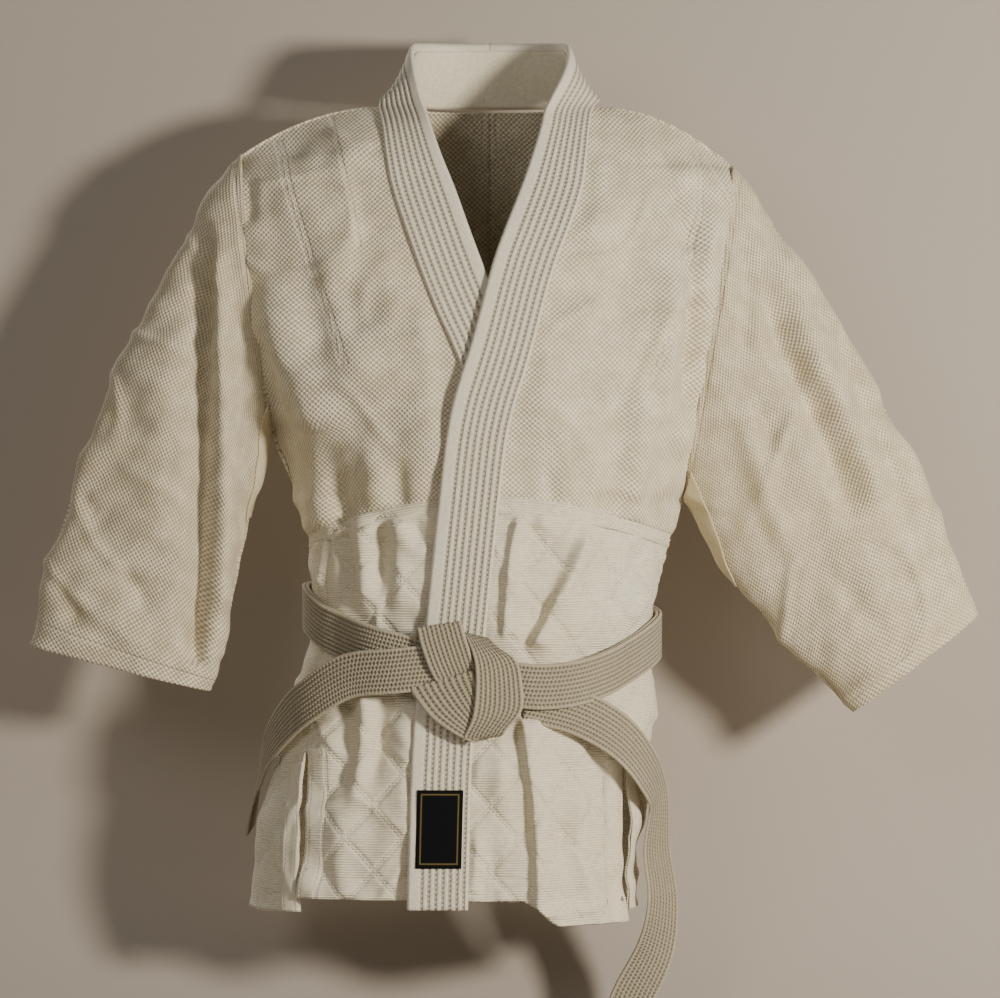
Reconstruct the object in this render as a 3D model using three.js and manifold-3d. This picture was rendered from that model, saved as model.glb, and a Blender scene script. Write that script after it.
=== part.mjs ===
// A judo style jacket with its belt tied, as it hangs on a neck and shoulder form.
// Millimetres, +Z up, the front faces -Y, and the wearer's left is at +X.
// The origin is the middle of the neck at the height of the shoulder line.
import * as THREE from "three";
import { mergeVertices } from "three/addons/utils/BufferGeometryUtils.js";
import Module from "manifold-3d";

const wasm = await Module();
wasm.setup();

// ---- cloth, tape and clearance ----
const GAP = 0.4; // clearance between pieces that lie edge to edge or on each other
const CLOTH = 2.4; // rice-grain cloth and quilted skirt cloth, with their relief
const TAPE = 1.4; // facings, bindings and reinforcements
const LAPEL_WIDTH = 55; // the folded band of the lapels and collar
const LAPEL_THICK = 6.4;
const LAPEL_COVER = 1.3; // the cloth folded round the lapel's core
const LAPEL_SINK = 2; // how far the band's inner face lies behind the panels' inner face
const BELT_WIDTH = 41;
const BELT_THICK = 3.2;
const HEM_DEPTH = 22; // turned-up hem and cuff
const FACING_WIDTH = 20; // tape beside each side vent
const SEAM_TAPE = 16; // tape over the waist seam and down the centre back
const SEAM_RISE = 2; // the gathered cloth under the waist tape lifts it by this much

// ---- levels, from the shoulder line down ----
const TOP = 0;
const COLLAR_RISE = 56; // standing height of the collar round the neck
const WAIST = -368; // seam between the upper cloth and the skirt, at the centre front
const WAIST_FALL = 0.00115; // drop of that seam towards the sides, per mm of x squared
const BELT_Z = -480; // middle of the belt at the sides
const VENT_TOP = -577; // top of the side vents, from which the skirt swings
const HEM = -722; // hem of the front skirt beside the lapels
const HEM_DIP = 24; // extra length of the left front towards its vent
const BACK_HEM = -735;

// ---- widths and depths of the body ----
const NECK_HALF = 100; // neck point of the shoulder line
const ROUNDNESS = 2.4; // power of the body's rounded section
const SHOULDER_ROLL = 55; // radius over the shoulder
const ARM_DEPTH = 48; // half depth of the sleeve where it joins the body
const ARM_GAP = 5; // clearance between the armhole edges of body and sleeve
const ARMHOLES = {
  left: { tip: [226, -57], underarm: [178, -361] },
  right: { tip: [-232, -46], underarm: [-204, -296] },
};
const WAIST_HALF = { left: 167, right: 168 };
const BELT_HALF = { left: 154, right: 169 };
const HIP_HALF = { left: 150, right: 192 };
const HEM_HALF = { left: 138, right: 220 };
const VENT_X = { left: [117, 119, 124], right: [-142, -164, -173] }; // waist, vent top, hem
const VENT_GAP = 3; // open width of the slit at the hem
const FRONT_DEPTH = { neck: 46, chest: 112, waist: 108, belt: 100, hip: 106, hem: 114 };
const BACK_DEPTH = { neck: 58, chest: 98, waist: 94, belt: 88, hip: 94, hem: 100 };

// ---- sleeves: outer edge from the shoulder tip, then the cuff back towards the body ----
const SLEEVES = {
  left: { reach: [224, -412], cuff: [-116, -88], crown: 32, sag: 34, drift: -16 },
  right: { reach: [-191, -451], cuff: [166, -42], crown: 50, sag: 16, drift: -12 },
};
const CUFF_DEPTH = 27; // half depth of the cuff opening
const GUSSET_LENGTH = 0.32; // part of the underarm edge that the gusset takes up

const mid = (a, b, t) => a + (b - a) * t;
const clamp = (v, low, high) => Math.min(high, Math.max(low, v));
const rise = (v, from, to) => THREE.MathUtils.smoothstep(v, from, to);
const fall = (v, from, to) => 1 - rise(v, from, to);
const steps = (count, from = 0, to = 1) =>
  Array.from({ length: count + 1 }, (_, i) => mid(from, to, i / count));
const sideOf = (x) => (x >= 0 ? "left" : "right");
const signOf = { left: 1, right: -1 };

/** A smooth function through rows of [position, value], in falling order of position. */
function through(rows) {
  const slope = (i) => {
    const a = rows[Math.max(0, i - 1)];
    const b = rows[Math.min(rows.length - 1, i + 1)];
    return (b[1] - a[1]) / (b[0] - a[0]);
  };
  return (p) => {
    let i = 0;
    while (i < rows.length - 2 && p < rows[i + 1][0]) i++;
    const [p0, v0] = rows[i];
    const [p1, v1] = rows[i + 1];
    const h = p1 - p0;
    const t = clamp((p - p0) / h, 0, 1);
    const t2 = t * t;
    const t3 = t2 * t;
    return (
      (2 * t3 - 3 * t2 + 1) * v0 +
      (t3 - 2 * t2 + t) * h * slope(i) +
      (3 * t2 - 2 * t3) * v1 +
      (t3 - t2) * h * slope(i + 1)
    );
  };
}

// ---- the body's outer surface, as depth over x and z ----
const waistLine = (x) => WAIST - WAIST_FALL * x * x;
const sideLine = {};
for (const side of ["left", "right"]) {
  const { underarm } = ARMHOLES[side];
  sideLine[side] = through([
    [underarm[1], Math.abs(underarm[0])],
    [Math.min(underarm[1], WAIST) - 24, WAIST_HALF[side]],
    [BELT_Z + BELT_WIDTH / 2, BELT_HALF[side]],
    [BELT_Z - BELT_WIDTH / 2, BELT_HALF[side]],
    [VENT_TOP, HIP_HALF[side]],
    [mid(VENT_TOP, BACK_HEM, 0.6), mid(HIP_HALF[side], HEM_HALF[side], 0.9)],
    [BACK_HEM, HEM_HALF[side]],
  ]);
}
const depthRows = (depth) =>
  through([
    [TOP + COLLAR_RISE, depth.neck - 8],
    [TOP, depth.neck],
    [TOP - 60, mid(depth.neck, depth.chest, 0.4)],
    [TOP - 150, mid(depth.neck, depth.chest, 0.8)],
    [TOP - 250, depth.chest],
    [WAIST, depth.waist],
    [BELT_Z, depth.belt],
    [VENT_TOP, depth.hip],
    [BACK_HEM, depth.hem],
  ]);
const frontDepth = depthRows(FRONT_DEPTH);
const backDepth = depthRows(BACK_DEPTH);

/** Distance of the outer edge of the body from x = 0, at a height and on one side. */
function outerHalf(z, side) {
  const { tip, underarm } = ARMHOLES[side];
  if (z > tip[1]) {
    const slope = Math.sqrt(Math.max(0, TOP - z) / (TOP - tip[1]));
    return NECK_HALF + (Math.abs(tip[0]) - NECK_HALF) * slope;
  }
  if (z > underarm[1]) {
    return Math.abs(mid(tip[0], underarm[0], (tip[1] - z) / (tip[1] - underarm[1])));
  }
  return sideLine[side](z);
}

/** Height of the shoulder line over x; inside the neck it climbs, so the cloth stands up there. */
function shoulderLine(x) {
  const { tip } = ARMHOLES[sideOf(x)];
  const out = Math.abs(x) - NECK_HALF;
  if (out < 0) return TOP - 0.8 * out;
  return TOP - (TOP - tip[1]) * (out / (Math.abs(tip[0]) - NECK_HALF)) ** 2;
}

/** Depth of the armhole's edge in front of and behind the shoulder line. */
function armholeDepth(z, side) {
  const { tip, underarm } = ARMHOLES[side];
  if (z >= tip[1] || z <= underarm[1]) return 0;
  const t = (2 * (z - underarm[1])) / (tip[1] - underarm[1]) - 1;
  return ARM_DEPTH * Math.sqrt(1 - t * t);
}

const bulge = (v) => Math.max(0, 1 - clamp(Math.abs(v), 0, 1) ** ROUNDNESS) ** (1 / ROUNDNESS);

/** y of the body's surface; face is -1 for the front and 1 for the back. */
function bodyY(x, z, face) {
  const left = outerHalf(z, "left");
  const right = outerHalf(z, "right");
  const across = clamp((x - (left - right) / 2) / ((left + right) / 2), -1, 1);
  const side = sideOf(across);
  const edge = armholeDepth(z, side);
  const { underarm } = ARMHOLES[side];
  const flat = mid(0.8, 1, fall(z, underarm[1] - 90, underarm[1])); // lens shaped at the armhole
  const round = (bulge(flat * across) - bulge(flat)) / (1 - bulge(flat));
  const full = face < 0 ? frontDepth(z) : backDepth(z);
  const roll = clamp((shoulderLine(x) - z) / SHOULDER_ROLL, 0, 1);
  return face * (edge + (full - edge) * round) * Math.sqrt(1 - (1 - roll) ** 2);
}

// ---- the crossing of the fronts ----
const lapelCentre = {
  left: through([
    [-3, 72],
    [-80, 56],
    [-150, 31],
    [-227, 10],
    [-292, -9],
    [WAIST, -19],
    [BELT_Z, -31],
    [VENT_TOP, -42],
    [HEM, -47],
  ]),
  right: through([
    [-3, -80],
    [-55, -68],
    [-105, -52],
    [-170, -28],
    [-240, 2],
    [-310, 18],
    [WAIST, 22],
    [BELT_Z, 14],
    [VENT_TOP, 5],
    [HEM, -1],
  ]),
};
const OVER_LIFT = LAPEL_THICK + 0.8; // the left front rides over the right lapel by this much
const overLift = (x, z) => OVER_LIFT * fall(x, 58, 104) * fall(z, -125, -60);

/** x of a lapel's edge; part is -1 for the free edge and 1 for the edge sewn to the front. */
function lapelEdge(side, z, part) {
  const e = 4;
  const slope = (lapelCentre[side](z + e) - lapelCentre[side](z - e)) / (2 * e);
  const across = (LAPEL_WIDTH / 2) * Math.sqrt(1 + slope * slope);
  return lapelCentre[side](z) + part * signOf[side] * across * mid(0.78, 1, fall(z, -90, -5));
}
const frontSurface = (x, z, side) => -(Math.abs(bodyY(x, z, -1)) + (side === "left" ? overLift(x, z) : 0));

// ---- solids ----

/**
 * Sweeps a strip section along stations. The section is two rails of [a, w] points, outer and
 * inner, and place(a, t, w) puts a point of it at station t. The faces are turned to point out.
 * Every quad is split from its low a to its high a, so layers on one grid never cut into each other.
 */
function swept({ outer, inner, stations, place, closed = false }) {
  const loop = [...outer, ...inner.slice().reverse()];
  const n = loop.length;
  const position = stations.flatMap((t) => loop.flatMap(([a, w]) => place(a, t, w).toArray()));
  const index = [];
  const quad = (a, b, c, d) => index.push(a, b, c, a, c, d);
  const rows = closed ? stations.length : stations.length - 1;
  for (let r = 0; r < rows; r++) {
    const here = r * n;
    const next = ((r + 1) % stations.length) * n;
    for (let i = 0; i < n; i++) {
      const j = (i + 1) % n;
      if (loop[i][0] <= loop[j][0]) quad(here + i, here + j, next + j, next + i);
      else quad(here + j, next + j, next + i, here + i);
    }
  }
  if (!closed) {
    const last = (stations.length - 1) * n;
    for (let i = 0; i < outer.length - 1; i++) {
      quad(i, n - 1 - i, n - 2 - i, i + 1);
      quad(last + i, last + i + 1, last + n - 2 - i, last + n - 1 - i);
    }
  }
  const geometry = new THREE.BufferGeometry();
  geometry.setAttribute("position", new THREE.Float32BufferAttribute(position, 3));
  geometry.setIndex(index);
  if (signedVolume(geometry) < 0) geometry.setIndex(index.reverse());
  return geometry;
}

function signedVolume(geometry) {
  const p = geometry.attributes.position;
  const at = (i) => new THREE.Vector3().fromBufferAttribute(p, geometry.index.getX(i));
  let sum = 0;
  for (let i = 0; i < geometry.index.count; i += 3) {
    sum += at(i).dot(at(i + 1).cross(at(i + 2)));
  }
  return sum / 6;
}

/** Two rails for a flat strip over the given columns, between the levels low and high. */
const strip = (columns, low, high) => ({
  outer: columns.map((a) => [a, high]),
  inner: columns.map((a) => [a, low]),
});
const part = (list, from, to) => list.filter((v) => v >= from - 1e-9 && v <= to + 1e-9);

/** Turns a surface at(a, t) into place(a, t, w), with w measured away from centre(p, a, t). */
function offset(at, centre = (p) => new THREE.Vector3(0, 0, p.z - 60)) {
  const e = 2e-3;
  return (a, t, w) => {
    const p = at(a, t);
    const da = at(a + e, t).sub(at(a - e, t));
    const dt = at(a, t + e).sub(at(a, t - e));
    const normal = da.cross(dt).normalize();
    if (normal.dot(p.clone().sub(centre(p, a, t))) < 0) normal.negate();
    return p.addScaledVector(normal, w);
  };
}

/** Removes one closed geometry from another. */
function minus(a, b) {
  const solid = (geometry) => {
    const g = mergeVertices(geometry, 1e-4);
    return new wasm.Manifold(
      new wasm.Mesh({
        numProp: 3,
        vertProperties: g.attributes.position.array,
        triVerts: new Uint32Array(g.index.array),
      }),
    );
  };
  const mesh = solid(a).subtract(solid(b)).getMesh();
  const geometry = new THREE.BufferGeometry();
  geometry.setAttribute("position", new THREE.BufferAttribute(mesh.vertProperties, 3));
  geometry.setIndex(new THREE.BufferAttribute(mesh.triVerts, 1));
  return geometry;
}

const finish = {
  weave: { color: 0xd6ccb4, roughness: 0.95 },
  skirt: { color: 0xe2dccb, roughness: 0.93 },
  lapel: { color: 0xc9bfa9, roughness: 0.9 },
  core: { color: 0xbfb59c, roughness: 0.95 },
  lining: { color: 0xe0d3a8, roughness: 0.95 },
  tape: { color: 0xddd5c0, roughness: 0.9 },
  belt: { color: 0xc8c1ac, roughness: 0.88 },
  label: { color: 0x0d0d0f, roughness: 0.7 },
};
const jacket = new THREE.Group();

function add(name, geometry, look) {
  const mesh = new THREE.Mesh(
    geometry,
    new THREE.MeshStandardMaterial({ ...finish[look], metalness: 0 }),
  );
  mesh.name = name;
  jacket.add(mesh);
}

const LINING = { low: -GAP - TAPE, high: -GAP }; // a layer on the inside of the cloth
const FACING = { low: CLOTH + GAP, high: CLOTH + GAP + TAPE }; // a layer on the outside

// ---- upper fronts and back ----

/** The upper cloth: a runs from the lapel or centre back to the outer edge, t downwards. */
function upperPanel(side, face) {
  const s = signOf[side];
  const highest = TOP - 1.5;
  return (a, t) => {
    const down = clamp(t, 0, 1);
    const over = t - down;
    const row = highest - (highest - WAIST) * down ** 1.5 - over * 300;
    const neckGap = 2 * GAP + 5 * rise(row, -40, -5);
    const inner = face < 0 ? lapelEdge(side, row, 1) + s * neckGap : s * GAP;
    const across = clamp(a, 0, 1);
    const spread = Math.sin((across * Math.PI) / 2);
    let x = inner;
    let z = row;
    // the waist seam falls towards the sides and the sides draw in on the way down, so x and z settle
    for (let turn = 0; turn < 8; turn++) {
      x = mid(inner, s * (outerHalf(z, side) - GAP), spread);
      z = row + down ** 4 * (waistLine(x) + GAP - WAIST);
    }
    x += s * 40 * (a - across);
    const y = face < 0 ? frontSurface(x, z, side) : bodyY(x, z, 1);
    return new THREE.Vector3(x, y + face * GAP, z);
  };
}

const PANEL_COLUMNS = steps(8);
const PANEL_ROWS = steps(14);
for (const side of ["left", "right"]) {
  const front = offset(upperPanel(side, -1));
  const back = offset(upperPanel(side, 1));
  const cloth = strip(PANEL_COLUMNS, 0, CLOTH);
  const lining = (from, to) => strip(part(PANEL_COLUMNS, from, to), LINING.low, LINING.high);
  add(`front_panel_${side}`, swept({ ...cloth, stations: PANEL_ROWS, place: front }), "weave");
  add(`back_panel_${side}`, swept({ ...cloth, stations: PANEL_ROWS, place: back }), "weave");
  add(
    `chest_reinforcement_${side}`,
    swept({ ...lining(1 / 8, 1 / 2), stations: part(PANEL_ROWS, 0.14, 0.72), place: front }),
    "lining",
  );
  add(
    `back_reinforcement_${side}`,
    swept({ ...lining(1 / 4, 5 / 8), stations: part(PANEL_ROWS, 0.14, 0.5), place: back }),
    "lining",
  );
}
const backSeam = offset((a, t) => {
  const z = mid(TOP - 8, WAIST + 2, t);
  const x = (a - 0.5) * SEAM_TAPE;
  return new THREE.Vector3(x, bodyY(x, z, 1) + GAP, z);
});
add(
  "back_seam_tape",
  swept({ ...strip([0, 1], FACING.low + 0.4, FACING.high + 0.4), stations: steps(14), place: backSeam }),
  "tape",
);

// ---- lapels and collar: a cover folded round a core, open along the sewn edge ----
const BAND = { low: -LAPEL_SINK, high: LAPEL_THICK - LAPEL_SINK };
const FOLD = (1.3 * LAPEL_COVER) / LAPEL_WIDTH;
const BAND_COLUMNS = [0, 1 / 3, 2 / 3, 1];
const bandCover = {
  outer: [
    ...BAND_COLUMNS.slice().reverse().map((a) => [a, BAND.low]),
    ...BAND_COLUMNS.map((a) => [a, BAND.high]),
  ],
  inner: [
    ...BAND_COLUMNS.slice().reverse().map((a) => [Math.max(a, FOLD), BAND.low + LAPEL_COVER]),
    ...BAND_COLUMNS.map((a) => [Math.max(a, FOLD), BAND.high - LAPEL_COVER]),
  ],
};
const bandCore = strip(
  [FOLD + 0.02, 1 / 3, 2 / 3, 0.97],
  BAND.low + LAPEL_COVER + 2 * GAP,
  BAND.high - LAPEL_COVER - 2 * GAP,
);

function addBand(name, stations, place) {
  add(`${name}_cover`, swept({ ...bandCover, stations, place }), "lapel");
  add(`${name}_core`, swept({ ...bandCore, stations, place }), "core");
}

const lapelPlace = (side) =>
  offset((a, z) => {
    const x = mid(lapelEdge(side, z, -1), lapelEdge(side, z, 1), a);
    return new THREE.Vector3(x, frontSurface(x, z, side) - GAP, z);
  });
const LAPEL_TOP = TOP - 8;
const LAPEL_END = HEM - 8;
for (const side of ["left", "right"]) {
  const place = lapelPlace(side);
  addBand(`lapel_${side}`, steps(20, LAPEL_TOP, VENT_TOP + GAP), place);
  addBand(`lapel_end_${side}`, steps(4, VENT_TOP - GAP, side === "left" ? LAPEL_END : HEM - 2), place);
}

/** The collar's two edges, from the left lapel round the back of the neck to the right one. */
const NECK_SIDE = 64; // half width between the standing edges
const NECK_BACK = 58; // depth of the standing edge behind the middle of the neck
const neckEdge = (s, start) => [
  start,
  [s * NECK_SIDE * 0.97, -24, TOP + COLLAR_RISE * 0.5],
  [s * NECK_SIDE, 2, TOP + COLLAR_RISE * 0.85],
  [s * NECK_SIDE * 0.85, 0.55 * NECK_BACK, TOP + COLLAR_RISE * 0.96],
  [s * NECK_SIDE * 0.46, 0.9 * NECK_BACK, TOP + COLLAR_RISE],
];
const seamEdge = (s, start) => [
  start,
  [s * (NECK_HALF - 1), -4, TOP + 4],
  [s * (NECK_HALF - 12), 0.5 * BACK_DEPTH.neck, TOP + 2.4],
  [s * (NECK_HALF - 40), 0.9 * BACK_DEPTH.neck, TOP + 2],
];
const lapelCorner = (side, edge) => {
  const z = LAPEL_TOP + 4;
  const x = lapelEdge(side, z, edge);
  return [x, frontSurface(x, z, side) - GAP, z];
};
const curve = (points) => new THREE.CatmullRomCurve3(points.map((p) => new THREE.Vector3(...p)));
const standing = curve([
  ...neckEdge(1, lapelCorner("left", -1)),
  [0, NECK_BACK, TOP + COLLAR_RISE + 1],
  ...neckEdge(-1, lapelCorner("right", -1)).reverse(),
]);
const sewn = curve([
  ...seamEdge(1, lapelCorner("left", 1)),
  [0, BACK_DEPTH.neck + 1, TOP + 2],
  ...seamEdge(-1, lapelCorner("right", 1)).reverse(),
]);
const collarPlace = offset(
  (a, t) => {
    const u = clamp(t, 0, 1);
    return standing.getPoint(u).lerp(sewn.getPoint(u), a);
  },
  (p) => new THREE.Vector3(0, 8, p.z),
);
const COLLAR_ROWS = steps(24);
addBand("collar", COLLAR_ROWS, collarPlace);
add(
  "neck_lining",
  swept({
    ...strip(BAND_COLUMNS.slice(1), BAND.low - GAP - TAPE, BAND.low - GAP),
    stations: part(COLLAR_ROWS, 0.2, 0.8),
    place: collarPlace,
  }),
  "tape",
);

// ---- skirt: a fixed part under the belt, and flaps that swing from the top of the vents ----
const ventX = {
  left: through([[WAIST, VENT_X.left[0]], [VENT_TOP, VENT_X.left[1]], [HEM, VENT_X.left[2]]]),
  right: through([[WAIST, VENT_X.right[0]], [VENT_TOP, VENT_X.right[1]], [HEM, VENT_X.right[2]]]),
};
const slit = (z) => GAP + VENT_GAP * 0.5 * fall(z, HEM, VENT_TOP);
const frontHem = (x, side) => (side === "left" ? HEM - HEM_DIP * rise(x, 25, 65) : HEM);

/** Front skirt cloth between two levels; a runs from the lapel to the vent. */
function frontSkirt(side, topOf, bottomOf) {
  const s = signOf[side];
  return (a, t) => {
    const row = mid(topOf(0), bottomOf(0), t);
    const x = mid(lapelEdge(side, row, 1) + s * 2 * GAP, ventX[side](row) - s * slit(row), a);
    const z = mid(topOf(x), bottomOf(x), t);
    return new THREE.Vector3(x, frontSurface(x, z, side) - GAP, z);
  };
}

/** A point of the body's section at a height: angle 0 is the front, 90 the wearer's left. */
function section(angle, z, lift = 0) {
  const left = outerHalf(z, "left");
  const right = outerHalf(z, "right");
  const turn = THREE.MathUtils.degToRad(angle);
  const share = Math.sign(Math.sin(turn)) * Math.abs(Math.sin(turn)) ** (2 / ROUNDNESS);
  const x = (left - right) / 2 + ((left + right) / 2) * share;
  const y = bodyY(x, z, Math.cos(turn) > 0 ? -1 : 1);
  return new THREE.Vector3(x + lift * Math.sin(turn), y - lift * Math.cos(turn), z);
}

/** The angle at which the body's section passes a given x on the front. */
function angleAt(x, z) {
  const left = outerHalf(z, "left");
  const right = outerHalf(z, "right");
  const share = clamp((x - (left - right) / 2) / ((left + right) / 2), -1, 1);
  return THREE.MathUtils.radToDeg(Math.sign(share) * Math.asin(Math.abs(share) ** (ROUNDNESS / 2)));
}

/** Back skirt cloth, round both sides to the vents; a runs from the left vent to the right one. */
function backSkirt(topOf, bottom) {
  return (a, t) => {
    const angle = (z) => {
      const from = angleAt(ventX.left(z) + slit(z), z);
      return mid(from, angleAt(ventX.right(z) - slit(z), z) + 360, a);
    };
    const row = mid(topOf(0), bottom, t);
    const z = mid(topOf(section(angle(row), row).x), bottom, t);
    return section(angle(z), z, GAP);
  };
}

const FLAP_LENGTH = VENT_TOP - HEM;
const FLAP_ROWS = [...steps(4, 0, 1 - HEM_DEPTH / FLAP_LENGTH), 1];
const BACK_GIRTH = 650; // length of the back skirt from vent to vent
const BACK_FACING = FACING_WIDTH / BACK_GIRTH;
const BACK_COLUMNS = [0, ...steps(22, BACK_FACING, 1 - BACK_FACING), 1];
for (const side of ["left", "right"]) {
  const hem = (x) => frontHem(x, side);
  const place = offset(frontSkirt(side, (x) => waistLine(x) - GAP, () => VENT_TOP + GAP));
  const swing = offset(frontSkirt(side, () => VENT_TOP - GAP, hem));
  const flapWidth = Math.abs(ventX[side](HEM) - lapelEdge(side, HEM, 1));
  const columns = [...steps(7, 0, 1 - FACING_WIDTH / flapWidth), 1];
  const cloth = strip(columns, 0, CLOTH);
  add(`skirt_front_${side}`, swept({ ...cloth, stations: steps(6), place }), "skirt");
  add(`skirt_flap_${side}`, swept({ ...cloth, stations: FLAP_ROWS, place: swing }), "skirt");
  add(
    `vent_facing_front_${side}`,
    swept({ ...strip(columns.slice(-2), FACING.low, FACING.high), stations: FLAP_ROWS, place: swing }),
    "tape",
  );
  add(
    `hem_front_${side}`,
    swept({ ...strip(columns, LINING.low, LINING.high), stations: FLAP_ROWS.slice(-2), place: swing }),
    "tape",
  );
}
const backSwing = offset(backSkirt(() => VENT_TOP - GAP, BACK_HEM));
add(
  "skirt_back",
  swept({
    ...strip(BACK_COLUMNS, 0, CLOTH),
    stations: steps(6),
    place: offset(backSkirt((x) => waistLine(x) - 3 * GAP, VENT_TOP + GAP)),
  }),
  "skirt",
);
add(
  "skirt_flap_back",
  swept({ ...strip(BACK_COLUMNS, 0, CLOTH), stations: FLAP_ROWS, place: backSwing }),
  "skirt",
);
for (const [side, columns] of [
  ["left", BACK_COLUMNS.slice(0, 2)],
  ["right", BACK_COLUMNS.slice(-2)],
]) {
  const rails = strip(columns, FACING.low, FACING.high);
  add(`vent_facing_back_${side}`, swept({ ...rails, stations: FLAP_ROWS, place: backSwing }), "tape");
}
add(
  "hem_back",
  swept({
    ...strip(BACK_COLUMNS, LINING.low, LINING.high),
    stations: FLAP_ROWS.slice(-2),
    place: backSwing,
  }),
  "tape",
);

// ---- tapes over the waist seam ----
for (const side of ["left", "right"]) {
  const s = signOf[side];
  const place = offset((a, t) => {
    const near = lapelEdge("left", WAIST, s) + s * 4; // both start beside the left lapel, which lies on top
    const x = mid(near, s * 0.97 * WAIST_HALF[side], Math.sin((t * Math.PI) / 2));
    const z = waistLine(x) + (a - 0.5) * SEAM_TAPE;
    return new THREE.Vector3(x, frontSurface(x, z, side) - GAP, z);
  });
  const rails = strip([0, 1], FACING.low + SEAM_RISE, FACING.high + SEAM_RISE);
  add(`waist_seam_tape_${side}`, swept({ ...rails, stations: steps(10, 0, 0.66), place }), "tape");
}

// ---- sleeves ----
function sleeveEdges(side) {
  const { tip, underarm } = ARMHOLES[side];
  const { reach, cuff, crown, sag, drift } = SLEEVES[side];
  const s = signOf[side];
  const along = new THREE.Vector2(underarm[0] - tip[0], underarm[1] - tip[1]).normalize();
  const out = new THREE.Vector2(-along.y, along.x).multiplyScalar(-s * Math.sign(along.y));
  const start = (p, back) => new THREE.Vector3(p[0] + out.x * ARM_GAP, 0, p[1] + out.y * ARM_GAP - back);
  const point = (x, z) => new THREE.Vector3(x, drift, z);
  const outerEnd = point(tip[0] + reach[0], tip[1] + reach[1]);
  const innerEnd = point(outerEnd.x + cuff[0], outerEnd.z + cuff[1]);
  const bend = (a, b, push) => a.clone().lerp(b, 0.5).add(push);
  const across = new THREE.Vector3(-s * reach[1], 0, s * reach[0]).normalize();
  const top = start(tip, 0);
  const under = start(underarm, 0);
  return {
    upper: new THREE.QuadraticBezierCurve3(top, bend(top, outerEnd, across.multiplyScalar(crown)), outerEnd),
    lower: new THREE.QuadraticBezierCurve3(
      under,
      bend(under, innerEnd, new THREE.Vector3(0, 0, -sag)),
      innerEnd,
    ),
  };
}

function sleevePlace(side) {
  const { upper, lower } = sleeveEdges(side);
  const middle = (a) => upper.getPoint(clamp(a, 0, 1)).lerp(lower.getPoint(clamp(a, 0, 1)), 0.5);
  return offset(
    (a, t) => {
      const u = clamp(a, 0, 1);
      const from = middle(u);
      const reach = upper.getPoint(u).sub(from);
      const depth = mid(ARM_DEPTH, CUFF_DEPTH, u);
      const p = from.addScaledVector(reach, Math.cos(t));
      p.y += depth * Math.sin(t);
      return p.add(upper.getTangent(u).multiplyScalar((a - u) * 100));
    },
    (p, a) => middle(a),
  );
}

const SLEEVE_AROUND = steps(24, 0, 2 * Math.PI).slice(0, -1);
for (const side of ["left", "right"]) {
  const place = sleevePlace(side);
  const cuffShare = HEM_DEPTH / Math.hypot(...SLEEVES[side].reach);
  const sleeveLengths = [...steps(3, 0, GUSSET_LENGTH), ...steps(5, GUSSET_LENGTH, 1 - cuffShare).slice(1), 1];
  const tube = swept({
    ...strip(sleeveLengths, 0, CLOTH),
    stations: SLEEVE_AROUND,
    place,
    closed: true,
  });
  const lengths = [0.016, ...part(sleeveLengths, 0, GUSSET_LENGTH).slice(1)]; // clear of the side seam
  const around = part(SLEEVE_AROUND, 0.8 * Math.PI, 1.2 * Math.PI);
  const reach = 0.02;
  const cutter = swept({
    ...strip([-0.02, ...lengths.slice(1, -1), lengths.at(-1) + 0.004], -3, CLOTH + 3),
    stations: [around[0] - reach, ...around.slice(1, -1), around.at(-1) + reach],
    place,
  });
  add(`sleeve_${side}`, minus(tube, cutter), "weave");
  add(
    `gusset_${side}`,
    swept({ ...strip(lengths, 0, CLOTH), stations: around, place }),
    "lining",
  );
  add(
    `cuff_hem_${side}`,
    swept({
      ...strip(sleeveLengths.slice(-2), LINING.low, LINING.high),
      stations: SLEEVE_AROUND,
      place,
      closed: true,
    }),
    "tape",
  );
}

// ---- belt: two turns round the waist, a flat knot and two tails ----
const beltHeights = [
  [-180, 12],
  [-90, 20],
  [-55, -2],
  [-20, -23],
  [12, -50],
  [40, -38],
  [68, -16],
  [90, -6],
  [135, 6],
  [180, 12],
].map(([angle, rise]) => [angle, BELT_Z + rise]);
const beltHeight = through(beltHeights.slice().reverse());
const FRONT_STACK = OVER_LIFT + BAND.high + 3.4; // the lapels lie under the belt
const beltLift = (angle) => mid(6.5, FRONT_STACK, fall(Math.abs(angle), 24, 48));
const TURN = BELT_THICK + GAP;

/** The belt's path round the waist, pushed out by w from the jacket; a is across its width. */
function beltPlace(a, angle, w) {
  const p = section(angle, beltHeight(angle), beltLift(angle) + w);
  return p.setZ(p.z + (a - 0.5) * BELT_WIDTH);
}
const beltStations = steps(44, -180, 180).slice(0, -1);
["belt_inner_turn", "belt_outer_turn"].forEach((name, turn) => {
  const rails = strip([0, 1], turn * TURN, turn * TURN + BELT_THICK);
  add(name, swept({ ...rails, stations: beltStations, place: beltPlace, closed: true }), "belt");
});

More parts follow.
